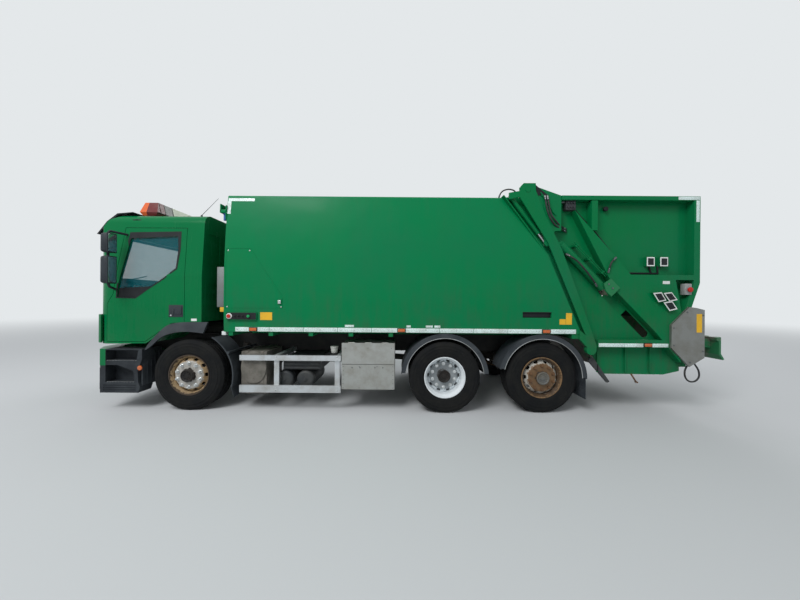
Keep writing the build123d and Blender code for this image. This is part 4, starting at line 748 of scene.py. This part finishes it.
# Mirrors: black shells on bent arms, with a large and a wide-angle glass in each.
mirror_glass = plated_steel("mirror_glass", "#C6CFD2", 0.03)
mirror_arms = (((-0.985, 2.100, 1.371), (-0.985, 2.240, 1.371)),
               ((-0.985, 2.430, 1.371), (-0.980, 2.487, 1.360)), ((-0.980, 2.487, 1.360), (-0.915, 2.478, 1.150)),
               ((-0.985, 1.800, 1.371), (-0.990, 1.735, 1.345)), ((-0.990, 1.735, 1.345), (-1.045, 1.700, 1.192)))
for name, side in (("left", 1), ("right", -1)):
    shells, panes = [], []
    for low, high in ((2.190, 2.455), (1.773, 2.146)):
        up, tall = (low + high) / 2, high - low
        shells += [(spot(-0.980, up, side * 1.371), (0.110, 0.142, tall), 0.034),
                   (spot(-0.936, up, side * 1.371), (0.022, 0.142, tall), 0.010)]
        panes.append((spot(-0.9265, up, side * 1.371), (0.006, 0.116, tall - 0.030), 0.0025))
    shells += [(*(spot(behind, up, side * out) for behind, up, out in run), 0.016, 0.006) for run in mirror_arms]
    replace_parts(fitted(f"mirror_shells_{name}", dark_plastic, f"door_{name}", shells, 60), f"mirrors_{name}")
    fitted(f"mirror_glass_{name}", mirror_glass, f"door_{name}", panes, 30)


# Light bar: a polycarbonate housing on the roof, its lenses amber at the ends, then maroon
# and smoke grey, and pale over the middle, with fine upright flutes and a film of dust.
def light_bar_lens():
    made, tree, place = start_material("light_bar_lens", Roughness=0.18)
    out = add(tree, "Math", {0: add(tree, "SeparateXYZ", {0: place}, "Y")}, operation="ABSOLUTE")
    shade = "#C9D0B8"
    for edge, colour in ((0.545, "#5E6660"), (0.715, "#6A2526"), (0.805, "#3A1512"), (0.815, "#D8622B")):
        past = add(tree, "Math", {0: out, 1: edge}, operation="GREATER_THAN")
        shade = add(tree, "Mix", {"Factor": past, "A": shade, "B": colour}, data_type="RGBA")
    along = add(tree, "SeparateXYZ", {0: place}, "X")
    rear = add(tree, "Math", {0: along, 1: front_x - 0.885}, operation="GREATER_THAN")
    rear = add(tree, "Math", {0: rear, 1: past}, operation="MULTIPLY")
    shade = add(tree, "Mix", {"Factor": rear, "A": shade, "B": "#6A2526"}, data_type="RGBA")
    dusty = filmed(tree, place, shade, "#8C8778", 9, 5, 0.5, 0.42, 0.75, 0.15)[2]
    flutes = add(tree, "TexWave", {"Vector": place, "Scale": 12, "Distortion": 0}, "Fac", bands_direction="Y")
    return finished(made, dusty, (flutes, 0.3, 0.003))


give_finish(light_bar_lens(), "light_bar")
fitted("light_bar_seams", seal_rubber, "cab",
       [(spot(*start, out), spot(*end, out), 0.003, 0, 8)
        for out in (-0.81, -0.715, -0.545, 0.545, 0.715, 0.81)
        for start, end in (((-0.987, 2.885), (-0.950, 3.040)), ((-0.714, 2.885), (-0.751, 3.040)))]
       + [(spot(-0.8505, 2.884, 0), (0.273, 1.72, 0.010), 0.003)], 40)


# Seats: foam cushions in dark woven cloth on a steel pedestal, crowned, with sewn channels
# and piped edges. The weave is drawn at 4 mm so that it shows.
def woven_cloth():
    made, tree, place = start_material("seat_cloth", Roughness=0.92, Sheen_Weight=0.3)
    cloud = add(tree, "TexNoise", {"Vector": place, "Scale": 6, "Detail": 5})
    shade = add(tree, "Mix", {"Factor": cloud, "A": "#202327", "B": "#34383E"}, data_type="RGBA")
    warp = add(tree, "TexWave", {"Vector": place, "Scale": 12.5}, "Fac", bands_direction="Y")
    weft = add(tree, "TexWave", {"Vector": place, "Scale": 12.5}, "Fac", bands_direction="DIAGONAL")
    weave = add(tree, "Math", {0: warp, 1: weft}, operation="MULTIPLY")
    return finished(made, shade, (weave, 0.4, 0.001))


seat_cloth = woven_cloth()


def cushion(name, centre, size, crown_axis, channels):
    """A stuffed pad: crowned on its face, drawn in between its corners, with sewn channels."""
    mesh = bmesh.new()
    bmesh.ops.create_cube(mesh, size=2)
    bmesh.ops.subdivide_edges(mesh, edges=mesh.edges[:], cuts=11, use_grid_fill=True)
    face_axis = "XYZ".index(crown_axis)
    long_axis, wide_axis = [i for i in range(3) if i != face_axis]
    for vert in mesh.verts:
        u, v, w = vert.co[long_axis], vert.co[wide_axis], vert.co[face_axis]
        crown = (1 - u * u) * (1 - v * v)
        vert.co[face_axis] = w * (0.62 + 0.38 * crown ** 0.4)
        vert.co[long_axis] = u * (1 - 0.05 * (1 - abs(w))) * (0.96 + 0.04 * v * v)
        vert.co[wide_axis] = v * (1 - 0.05 * (1 - abs(w))) * (0.96 + 0.04 * u * u)
        if min(abs(v - seam) for seam in channels) < 0.05 and abs(w) > 0.9:
            vert.co[face_axis] *= 0.86
    placed = Matrix.Translation(centre) @ Matrix.Diagonal((*[s / 2 for s in size], 1))
    bmesh.ops.transform(mesh, verts=mesh.verts, matrix=placed)
    made = own_piece(name, mesh, seat_cloth, "cab", smooth=80)
    rounding = made.modifiers.new("rounding", "SUBSURF")
    rounding.levels = rounding.render_levels = 1


seat_frame = []
for name, side in (("left", 1), ("right", -1)):
    out = side * 0.76
    cushion(f"seat_cushion_{name}", spot(-0.350, 1.480, out), (0.47, 0.47, 0.15), "Z", (-0.5, 0.5))
    cushion(f"seat_back_{name}", spot(-0.130, 1.790, out), (0.105, 0.45, 0.50), "X", (-0.4, 0.4))
    cushion(f"head_rest_{name}", spot(-0.130, 2.135, out), (0.10, 0.28, 0.18), "X", (-2, 2))
    seat_frame += [(spot(-0.13, 2.00, side * across), spot(-0.13, 2.09, side * across), 0.006, 0, 10)
                   for across in (0.70, 0.82)]
    seat_frame += [(spot(-0.34, 1.385, out), (0.30, 0.26, 0.05), 0.008),
                   (spot(-0.30, 1.335, out), (0.16, 0.24, 0.08), 0.008)]
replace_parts(fitted("seat_frames", chassis_paint, "cab", seat_frame, 40), "seats")

# Dashboard: soft-touch dark moulding under the screen, with the steering wheel on it.
give_finish(moulded_plastic("dashboard_skin", "#1D2023", "#2B2F32", roughness=0.7), "dashboard")
fitted("dashboard_cowl", dark_plastic, "cab", [(spot(-1.235, 1.740, 0), (0.190, 2.0, 0.270), 0.045)], 50)


# Load body: 4 mm steel sides bowed outwards, with a crowned roof, welded to the floor's edge
# and sprayed in body green. The paint has chalked a little in the sun, and rain has drawn
# dirt down it from the roof's edge.
body_enamel = enamel("body_enamel", "#007846", "#087548", gloss=0.32)
give_finish(body_enamel, "body_sides", "body_roof", "body_front_wall", "subframe")


def wall_out(up):
    """How far out the body's bowed side stands at a height."""
    return -9.6365 + math.sqrt(10.8824 ** 2 - (up - 1.6115) ** 2)


def bowed_plate(mesh, outline, rows):
    """A film 1.5 mm thick bent to the body's side, from its corners (behind, up)."""
    face = mesh.faces.new([mesh.verts.new(Vector((b, u, 0))) for b, u in outline])
    low, high = min(u for b, u in outline), max(u for b, u in outline)
    fresh = list(face.verts) + list(face.edges) + [face]
    for row in range(1, rows):
        cut = bmesh.ops.bisect_plane(mesh, geom=fresh, plane_co=(0, low + (high - low) * row / rows, 0),
                                     plane_no=(0, 1, 0))
        fresh = cut["geom"]
    panel = [f for f in fresh if isinstance(f, bmesh.types.BMFace)]
    for vert in {v for f in panel for v in f.verts}:
        vert.co = spot(vert.co.x, vert.co.y, wall_out(vert.co.y) + 0.0005)
    thicken(mesh, panel, (0, -0.0015, 0))


# Reflective tape along the body's foot: white prismatic film in 5 cm cells behind a clear
# face, bolted strip by strip, between amber lamps and small white reflector tabs.
def prismatic_film():
    made, tree, place = start_material("white_reflective_tape", Roughness=0.3, Coat_Weight=0.4)
    cells = add(tree, "TexVoronoi", {"Vector": place, "Scale": 40}, "Distance", feature="DISTANCE_TO_EDGE")
    edge = add(tree, "MapRange", {"Value": cells, "From Min": 0.0, "From Max": 0.08})
    lit = add(tree, "Mix", {"Factor": edge, "A": "#A9B8B4", "B": "#D9EDEA"}, data_type="RGBA")
    return finished(made, filmed(tree, place, lit, "#8F8E7C", 7, 6, 0.5, 0.45, 0.7, 0.35)[2], (edge, 0.15, 0.0005))


white_tape = prismatic_film()
tape_up, strip_length = 1.156, 0.4707
marker_rim, marker_lens = ((0.118, 0.010, 0.058), 0.003), ((0.100, 0.014, 0.042), 0.006)
foot_strip, strip_bolts, foot_lamps, lamp_rims, tabs = [], [], [], [], []
for side in (1, -1):
    for start in [0.671 + 0.4757 * index for index in range(10)]:
        foot_strip.append((spot(start + 0.2358, tape_up, side * 1.2390), (strip_length, 0.004, 0.060), 0.001))
        strip_bolts += [stub(start + off, tape_up, side * 1.2405, side * 1.2445, 0.008, 0.001, 6)
                        for off in (0.03, 0.235, 0.44)]
    for behind in (0.922, 2.990, 5.011):
        lamp_rims.append((spot(behind, tape_up, side * 1.243), *marker_rim))
        foot_lamps.append((spot(behind, tape_up, side * 1.249), *marker_lens))
    for start, end in ((2.201, 2.326), (3.060, 3.119), (3.329, 3.426), (3.448, 3.531)):
        tabs.append((spot((start + end) / 2, 1.212, side * (wall_out(1.212) + 0.002)), (end - start, 0.004, 0.030),
                     0.001))
fitted("foot_tape", white_tape, "chassis", foot_strip)
fitted("foot_tape_bolts", zinc_plate, "chassis", strip_bolts)
fitted("foot_lamp_rims", seal_rubber, "chassis", lamp_rims)
fitted("foot_lamps", amber_lens, "chassis", foot_lamps)
fitted("reflector_tabs", white_tape, "chassis", tabs)
corner_tape = bmesh.new()
bowed_plate(corner_tape, rectangle(0.520, 2.968, 0.891, 3.010), 3)
bowed_plate(corner_tape, rectangle(0.514, 2.780, 0.563, 2.966), 5)
own_piece("corner_tape", corner_tape, white_tape, "chassis", smooth=None)

# Signs on the side: plain yellow vinyl, with nothing printed on it.
yellow_film = moulded_plastic("yellow_vinyl", "#E9B52E", "#D3A63A", roughness=0.35)
yellow_signs = bmesh.new()
for outline in (rectangle(1.020, 1.287, 1.185, 1.395), rectangle(5.281, 1.254, 5.363, 1.414),
                rectangle(5.192, 1.254, 5.277, 1.329)):
    bowed_plate(yellow_signs, outline, 3)
own_piece("yellow_signs", yellow_signs, yellow_film, "chassis", smooth=None)

# Side hatch: its panel lies in the wall behind a rubber-filled seam, with a folded catch and
# a cam lock. Beside it a control strip carries a stop button, three toggles and a knob.
fitted("hatch_catch", zinc_plate, "chassis",
       [(spot(1.290, 1.540, 1.258), (0.040, 0.010, 0.050), 0.003),
        (spot(1.290, 1.552, 1.258), spot(1.290, 1.552, 1.272), 0.009, 0.002, 16)]
       + [stub(behind, up, wall_out(up) - 0.001, wall_out(up) + 0.005, 0.009, 0.002, 12)
          for behind, up in ((0.56, 1.470), (0.56, 2.255), (0.86, 2.255), (1.310, 1.470))])
strip_up, strip_face = 1.341, 1.269
fitted("control_strip_face", seal_rubber, "chassis",
       [(spot(0.7685, strip_up, 1.2675), (0.405, 0.004, 0.096), 0.0015)], None)
red_plastic = moulded_plastic("red_button_plastic", "#C02A22", "#A32A22", roughness=0.35)
fitted("side_stop_button", red_plastic, "chassis",
       [stub(0.600, strip_up, strip_face, 1.282, 0.018, 0.002),
        stub(0.600, strip_up, 1.282, 1.294, 0.027, 0.005, 32)])
fitted("stop_button_ring", label_white, "chassis", [stub(0.600, strip_up, strip_face, 1.273, 0.040, 0.001, 32)])
fitted("side_toggles", seal_rubber, "chassis",
       [part for behind in (0.680, 0.735, 0.790)
        for part in (stub(behind, strip_up, strip_face, 1.274, 0.016, 0.002),
                     (spot(behind, strip_up, 1.274), spot(behind, 1.350, 1.294), 0.006, 0.002, 12, 0.008))])
green_plastic = moulded_plastic("green_button_plastic", "#1E9A56", "#1A7F49", roughness=0.35)
fitted("side_knob", green_plastic, "chassis", [stub(0.870, strip_up, strip_face, 1.290, 0.020, 0.004, 32)])

# Hand-hold: a thin black sheet at the back of the pocket is painted shade for the pocket's inside, with a rolled bar
# across its mouth.
fitted("hand_hold_painted_shade_and_bar", seal_rubber, "chassis",
       [(spot(4.8785, 1.3855, 1.2160), (0.397, 0.003, 0.076), 0.001),
        (spot(4.8785, 1.4225, 1.2400), (0.403, 0.010, 0.012))])

# Body front: a hooded green bracket with a blue lamp, a grey cover plate, a yellow junction
# box under it and a white working lamp, all bolted to the front wall's edge.
fitted("front_bracket", body_enamel, "chassis",
       [(spot(0.465, 2.815, 1.130), (0.095, 0.14, 0.045)),
        (spot(0.428, 2.860, 1.130), (0.016, 0.14, 0.115)),
        (spot(0.506, 2.800, 1.120), (0.014, 0.16, 0.200))])
fitted("blue_lamp", lamp_lens("blue_lens", "#2E5FA3"), "chassis",
       [(spot(0.465, 2.800, 1.150), spot(0.465, 2.690, 1.150), 0.018, 0.006, 32),
        (spot(0.465, 2.800, 1.150), spot(0.465, 2.775, 1.150), 0.024, 0.003, 32)])
fitted("front_cover", bare_metal("painted_grey_sheet", "#7E8585", "#6E6C62", 0.5), "chassis",
       [(spot(0.415, 1.745, 1.120), (0.100, 0.09, 0.57), 0.006),
        (spot(0.4875, 1.745, 1.10), (0.049, 0.05, 0.50), 0.003)])
fitted("junction_box", yellow_film, "chassis", [(spot(0.458, 1.4345, 1.11), (0.107, 0.10, 0.083), 0.006)])
fitted("work_lamp", lamp_lens("work_lamp_lens", "#DADFDF"), "chassis",
       [(spot(0.490, 1.095, 1.17), (0.060, 0.07, 0.055), 0.008)])
fitted("roof_lugs", body_enamel, "chassis",
       [(spot(behind, 3.072, side * 0.98), (0.070, 0.014, 0.060)) for behind in (0.75, 4.06) for side in (-1, 1)])

# Rear posts: folded channels welded to the body's end, in the same green, with the lift
# cylinders beside them. Their rods are hard-chromed and run dark with oil.
tail_green = "#00713F"
tail_enamel = enamel("tail_enamel", tail_green, "#0B7046", gloss=0.3, low=0.3, high=2.6, dirt=0.5)
give_finish(tail_enamel, "rear_posts", "tailgate_shell", "tailgate_frame", "rear_beam", "slide_cylinders",
            "lift_barrels")
chrome = plated_steel("chromed_rod", "#C9CDCF", 0.12)
give_finish(chrome, "lift_rods")
hinge_x, hinge_z = joints["tailgate_lift"]["pos_m"][0], joints["tailgate_lift"]["pos_m"][2]
fitted("hinge_pin_caps", zinc_plate, "tailgate",
       [(Vector((hinge_x, side * start, hinge_z)), Vector((hinge_x, side * end, hinge_z)), *shape)
        for side in (-1, 1) for start, end, *shape in ((1.2245, 1.234, 0.030, 0.003, 6), (1.234, 1.240, 0.018, 0.002))])
plates("hinge_rubber", seal_rubber, "tailgate", [[(4.850, 3.205), (5.030, 3.055), (4.872, 3.058)]], 1.230, 0.004,
       (-1, 1))


# Hydraulic hoses: two-wire rubber hose of 20 mm on swaged ends, black with grey dust.
# They cross the tailgate's hinge in slack loops and feed the slide cylinders.
def hose_rubber():
    made, tree, place = start_material("hose_rubber", Roughness=0.6)
    shade = filmed(tree, place, "#15171A", "#45453F", 12, 6, 0.5, 0.42, 0.7, 0.5)[2]
    wrap = add(tree, "TexWave", {"Vector": place, "Scale": 20, "Distortion": 1}, "Fac", bands_direction="DIAGONAL")
    return finished(made, shade, (wrap, 0.25, 0.001))


hose_finish = hose_rubber()


def hose(name, places, diameter, body, side=1):
    """A hose between two fittings, on one smooth line."""
    points = [spot(behind, up, side * out) for behind, up, out in places]
    data = bpy.data.curves.new(name, "CURVE")
    data.dimensions = "3D"
    spline = data.splines.new("NURBS")
    spline.points.add(len(points) - 1)
    for place, point in zip(spline.points, points):
        place.co = (*point, 1)
    spline.order_u = 3
    spline.use_endpoint_u = True
    spline.resolution_u = 8
    probe = bpy.data.objects.new(name + "_probe", data)
    line = bpy.data.meshes.new_from_object(probe)
    bpy.data.objects.remove(probe)
    bpy.data.meshes.remove(line)
    data.bevel_depth = diameter / 2
    data.bevel_resolution = 4
    data.use_fill_caps = True
    data.materials.append(hose_finish)
    made = bpy.data.objects.new(name, data)
    bpy.context.scene.collection.objects.link(made)
    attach(made, body)
    tuple(points[0])
    ends = []
    for end, second in ((points[0], points[1]), (points[-1], points[-2])):
        run = (second - end).normalized()
        ends += [(end - run * 0.012, end + run * 0.030, diameter * 0.72, 0.002, 6),
                 (end + run * 0.030, end + run * 0.055, diameter * 0.62, 0.002, 16)]
    fitted(name + "_ends", fitting_steel, body, ends)


for name, side in (("left", 1), ("right", -1)):
    hose(f"roof_hose_{name}", [(4.405, 3.066, 1.02), (4.410, 3.130, 1.03), (4.455, 3.190, 1.05), (4.545, 3.200, 1.08),
                               (4.625, 3.155, 1.11), (4.640, 3.062, 1.122)], 0.020, "chassis", side)
for number, drop in ((1, 0.0), (2, 0.035)):
    hose(f"hinge_hose_{number}", [(4.975 + drop, 3.040, 1.240), (4.978 + drop, 2.98, 1.262),
                                  (4.990 + drop, 2.88, 1.266), (5.020 + drop, 2.77, 1.264),
                                  (5.090 + drop, 2.66 + drop, 1.255), (5.200, 2.60 + drop, 1.215),
                                  (5.330, 2.575 + drop, 1.128)], 0.022, "tailgate")
hose("slide_hose_upper", [(5.298, 2.238, 1.214), (5.335, 2.205, 1.255), (5.430, 2.135, 1.266),
                          (5.540, 2.010, 1.266), (5.650, 1.875, 1.258), (5.720, 1.800, 1.216)], 0.022, "tailgate")
hose("slide_hose_lower", [(5.866, 1.990, 1.245), (5.872, 2.060, 1.262), (5.895, 2.130, 1.266),
                          (5.935, 2.165, 1.258), (5.965, 2.190, 1.245)], 0.020, "tailgate")
hose("manifold_hose", [(5.040, 2.850, 1.122), (5.060, 2.910, 1.165), (5.110, 2.955, 1.178),
                       (5.180, 2.975, 1.175), (5.245, 2.982, 1.170), (5.296, 2.984, 1.168)], 0.020, "tailgate")
hose("drain_hose", [(7.068, 0.740, 1.180), (7.035, 0.690, 1.185), (6.990, 0.620, 1.190), (6.985, 0.530, 1.195),
                    (7.035, 0.462, 1.195), (7.125, 0.452, 1.190), (7.200, 0.510, 1.185), (7.205, 0.600, 1.180),
                    (7.160, 0.680, 1.180), (7.105, 0.745, 1.180)], 0.022, "tailgate")

# Valve block and pipes: a drilled steel block with threaded ports, and drawn steel pipes of
# 14 mm that run along the slide cylinder in clamps.
fitted("valve_block", tank_paint, "tailgate",
       [(spot(5.364, 2.936, 1.155), (0.140, 0.085, 0.135), 0.005)]
       + [stub(behind, up, 1.195, 1.212, 0.014, 0.002, 6) for behind in (5.325, 5.365, 5.405)
          for up in (2.905, 2.965)])
pipes = []
aslant = Matrix.Rotation(math.radians(45), 4, "Y")
for off in (0.075 * 0.71, 0.100 * 0.71):
    start, end = spot(5.330 + off, 2.345 + off, 1.215), spot(5.790 + off, 1.880 + off, 1.215)
    pipes.append((start, end, 0.007, 0, 12))
    pipes += [(start.lerp(end, share) + Vector((0, 0.045, 0)), (0.030, 0.116, 0.022), 0.003, aslant)
              for share in (0.1, 0.5, 0.9)]
pipes.append((spot(4.918, 3.098, 1.236), spot(5.127, 2.785, 1.236), 0.009, 0, 12))
pipes += [(spot(behind, up, 1.230), (0.03, 0.020, 0.02), 0.003) for behind, up in ((4.945, 3.058), (5.100, 2.826))]
fitted("steel_pipes", tail_enamel, "tailgate", pipes, 40)
conduit_run = [(5.349, 3.035), (5.502, 2.845), (5.765, 2.563), (6.028, 2.237), (6.247, 1.986)]
lamp_runs = (((6.230, 1.988), (6.660, 1.988)), ((6.656, 1.984), (6.652, 2.100)), ((6.560, 1.984), (6.530, 2.095)))
fitted("cable_conduit", seal_rubber, "tailgate",
       [(spot(*start, 1.121), spot(*end, 1.121), radius, 0.003, 12)
        for runs, radius in ((zip(conduit_run, conduit_run[1:]), 0.009), (lamp_runs, 0.012))
        for start, end in runs], 40)
rod_high, rod_low = spot(6.425, 1.335, 1.145), spot(6.570, 1.150, 1.145)
bracket_off = Vector((0, 0.017, 0))
fitted("rusty_rods", rusty_steel, "tailgate",
       [(rod_high, rod_low, 0.012, 0.002, 16)]
       + [(rod_high.lerp(rod_low, share) + bracket_off, (0.03, 0.034, 0.03), 0.003) for share in (0.1, 0.9)]
       + [(spot(6.288, 0.545, 1.118), spot(6.358, 0.430, 1.125), 0.011, 0.003, 16),
          stub(6.358, 0.430, 1.105, 1.150, 0.012, 0.003, 16)], 40)
plates("corner_brace", tank_paint, "tailgate",
       [[(5.690, 0.780), (5.730, 0.780), (5.965, 0.436), (5.930, 0.420), (5.660, 0.730)]], 1.143, 0.030, smooth=35)

# Control boxes and work lights on the tailgate: cast housings with white enamelled frames
# round smoked glass, behind which the lamps and push buttons sit.
smoked_glass = moulded_plastic("smoked_glass", "#14181B", "#23282B", roughness=0.08)
frames, panes = bmesh.new(), bmesh.new()
box_outlines = (
    ((6.457, 1.703), (6.574, 1.715), (6.640, 1.600), (6.535, 1.578)),
    ((6.602, 1.704), (6.713, 1.716), (6.795, 1.609), (6.685, 1.585)),
    ((6.602, 1.574), (6.720, 1.595), (6.795, 1.484), (6.685, 1.455)),
)
lamp_outlines = (rectangle(6.457, 2.086, 6.565, 2.214), rectangle(6.647, 2.086, 6.755, 2.214))
for outlines, out in ((box_outlines, 1.287), (lamp_outlines, 1.179)):
    for outline in outlines:
        middle = [sum(values) / 4 for values in zip(*outline)]
        inner = [[m + (value - m) * 0.74 for m, value in zip(middle, corner)] for corner in outline]
        plate_piece(frames, outline, out, 0.004)
        plate_piece(panes, inner, out + 0.003, 0.003)
own_piece("white_frames", frames, label_white, "tailgate")
own_piece("smoked_panes", panes, smoked_glass, "tailgate")
fitted("black_knobs", seal_rubber, "tailgate",
       [stub(5.886, 2.898, 1.112, 1.135, 0.014, 0.002), stub(5.886, 2.898, 1.135, 1.165, 0.034, 0.008, 32)]
       + [stub(behind, up, 1.2895, 1.294, 0.010, 0.002)
          for behind, up in ((6.56, 1.66), (6.60, 1.625), (6.70, 1.665), (6.74, 1.63))], 40)

# Emergency stop: a red mushroom button on a grey cast box beside the tailgate's rear rib.
fitted("stop_box", moulded_plastic("grey_cast_box", "#9DA2A3", "#83857F", roughness=0.5), "tailgate",
       [(spot(6.987, 1.760, 1.205), (0.098, 0.075, 0.157), 0.008),
        (spot(7.040, 1.800, 1.185), (0.060, 0.006, 0.040), 0.002)])
fitted("stop_mushroom", red_plastic, "tailgate",
       [stub(6.987, 1.753, 1.241, 1.262, 0.020, 0.002), stub(6.987, 1.753, 1.262, 1.280, 0.036, 0.008, 32)], 40)

# Tapes, lamps and blank signs on the tailgate: the body's films and lenses again, with tape
# along the top and the rear edge of its upper corner.
tail_tape, tail_markers, tail_marker_rims = [], [], []
for side in (1, -1):
    tail_tape += [(spot((start + end) / 2, 0.972, side * 1.2360), (end - start, 0.003, 0.050), 0.001)
                  for start, end in ((5.745, 6.100), (6.104, 6.368), (6.492, 6.716))]
    tail_tape += [(spot(6.995, 3.030, side * 1.2360), (0.300, 0.003, 0.045), 0.001),
                  (spot(7.118, 2.850, side * 1.2360), (0.045, 0.003, 0.300), 0.001)]
    tail_marker_rims.append((spot(6.430, 0.976, side * 1.239), *marker_rim))
    tail_markers.append((spot(6.430, 0.976, side * 1.246), *marker_lens))
fitted("tailgate_tape", white_tape, "tailgate", tail_tape)
fitted("tail_marker_rims", seal_rubber, "tailgate", tail_marker_rims)
fitted("tail_markers", amber_lens, "tailgate", tail_markers)
plates("tail_label", label_white, "tailgate", [rectangle(6.633, 1.831, 6.731, 1.872)], 1.2365, 0.0015)
plates("cover_sign", yellow_film, "tailgate", [rectangle(7.075, 1.160, 7.150, 1.417)], 1.2715, 0.0015)

# Side covers at the hopper's mouth: bent stainless sheet, brushed along, with bolted edges.
cover_stainless = bare_metal("cover_stainless", "#8F918E", "#6E685A", 0.4, grain=(2, 60, 90))
give_finish(cover_stainless, "side_covers")
cover_holes = ((6.765, 1.22), (6.765, 0.98), (6.95, 1.44), (6.99, 0.745), (7.165, 1.40), (7.165, 0.90))
fitted("cover_bolts", fitting_steel, "tailgate",
       [stub(behind, up, side * 1.2695, side * 1.276, 0.011, 0.002, 6)
        for side in (1, -1) for behind, up in cover_holes])

# Tail lamps: a row of round-cornered lenses, red outside, amber and clear within, on each of
# the beam's black housings, with small red markers high on the tailgate.
tail_lamps = (("red_tail_lenses", red_lens, ((0.785, 0.895), (1.055, 1.125))),
              ("amber_tail_lenses", amber_lens, ((0.965, 1.045),)),
              ("clear_tail_lenses", lamp_lens("reversing_lens", "#DADFDF"), ((0.905, 0.955),)))
for name, lens, rows in tail_lamps:
    fitted(name, lens, "tailgate",
           [(Vector((hinge_x + 2.391, side * 1.02, (low + high) / 2)), (0.016, 0.135, high - low), 0.006)
            for side in (-1, 1) for low, high in rows])
fitted("high_markers", red_lens, "tailgate",
       [(Vector((hinge_x + 2.419, side * 1.15, 2.98)), (0.020, 0.07, 0.035), 0.005) for side in (-1, 1)])


# Hopper, carriage, blade and ejector: wear-resistant plate, painted once. The load has
# scoured it to bright grey streaks in the middle, and left rust and brown crust beside them.
def scoured_plate(name, paint_left):
    made, tree, place = start_material(name, Roughness=0.5)
    stretched = add(tree, "Mapping", {"Vector": place, "Scale": (4, 14, 4)})
    scrape = add(tree, "TexNoise", {"Vector": stretched, "Scale": 3, "Detail": 8, "Roughness": 0.7})
    steel = add(tree, "Mix", {"Factor": scrape, "A": "#4A3626", "B": "#8D8983"}, data_type="RGBA")
    cloud, worn, shade = filmed(tree, place, "#1E6B43", steel, 3.5, 8, 0.65, paint_left, paint_left + 0.12)
    metal = add(tree, "Math", {0: worn, 1: 0.5}, operation="MULTIPLY")
    return finished(made, shade, (scrape, 0.35, 0.003), Metallic=metal)


give_finish(scoured_plate("scoured_plate", 0.36), "hopper_trough", "sweep_blade", "ejector")
give_finish(scoured_plate("worn_lifter_paint", 0.52), "bin_lifter")


def carriage_finish():
    """Scoured plate inside the hopper, and clean green enamel on the cover plates outside it."""
    made, tree, place = start_material("carriage_finish", Roughness=0.42)
    out = add(tree, "Math", {0: add(tree, "SeparateXYZ", {0: place}, "Y")}, operation="ABSOLUTE")
    outside = add(tree, "Math", {0: out, 1: 1.236}, operation="GREATER_THAN")
    cloud, film, paint = filmed(tree, place, tail_green, road_film, 5, 7, 0.65, 0.45, 0.75, 0.4)
    steel = add(tree, "Mix", {"Factor": cloud, "A": "#5B4A38", "B": "#8B8A85"}, data_type="RGBA")
    shade = add(tree, "Mix", {"Factor": outside, "A": steel, "B": paint}, data_type="RGBA")
    return finished(made, shade, (cloud, 0.2, 0.003))


give_finish(carriage_finish(), "packer_carriage")
slot_start, slot_end = spot(5.912, 1.692, 1.100), spot(6.179, 1.4205, 1.100)
slot_turn = Matrix.Rotation(math.radians(45.5), 4, "Y")
slot_strips, cover_nuts = [], []
slide_run = Vector(joints["packer_slide"]["axis"])
low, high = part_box("packer_carriage")
for side in (1, -1):
    middle = (slot_start + slot_end) / 2
    middle.y *= side
    slot_strips.append((middle, ((slot_end - slot_start).length, 0.003, 0.118), 0.001, slot_turn))
    for share in (0.02, 0.10):
        foot = Vector((high.x - 0.09, side * 1.2635, low.z + 0.10)) - slide_run * share
        cover_nuts.append((foot, foot + Vector((0, side * 0.008, 0)), 0.014, 0.002, 6))
fitted("slot_cover_strips", tail_enamel, "packer_carriage", slot_strips, None)
fitted("cover_plate_nuts", fitting_steel, "packer_carriage", cover_nuts)

# Loading sill: a rubber lip along the hopper's edge, and a green plate behind the opening
# beside the rear rib on each side.
fitted("sill_lip", seal_rubber, "tailgate", [(spot(7.014, 1.380, 0), (0.014, 2.190, 0.112), 0.005)])
plates("rib_window_plates", tail_enamel, "tailgate", [[(6.821, 1.877), (7.059, 1.877), (6.917, 1.446)]], 1.108,
       0.0025, (1, -1))

# Bin lifter: green arms and comb, with bright wear strips on the comb's edge.
low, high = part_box("bin_lifter")
fitted("comb_wear_strips", cover_stainless, "bin_lifter",
       [(Vector((high.x - 0.085, -0.72 + tooth * 0.36, high.z - 0.005)), (0.09, 0.16, 0.008), 0.002)
        for tooth in range(5)])
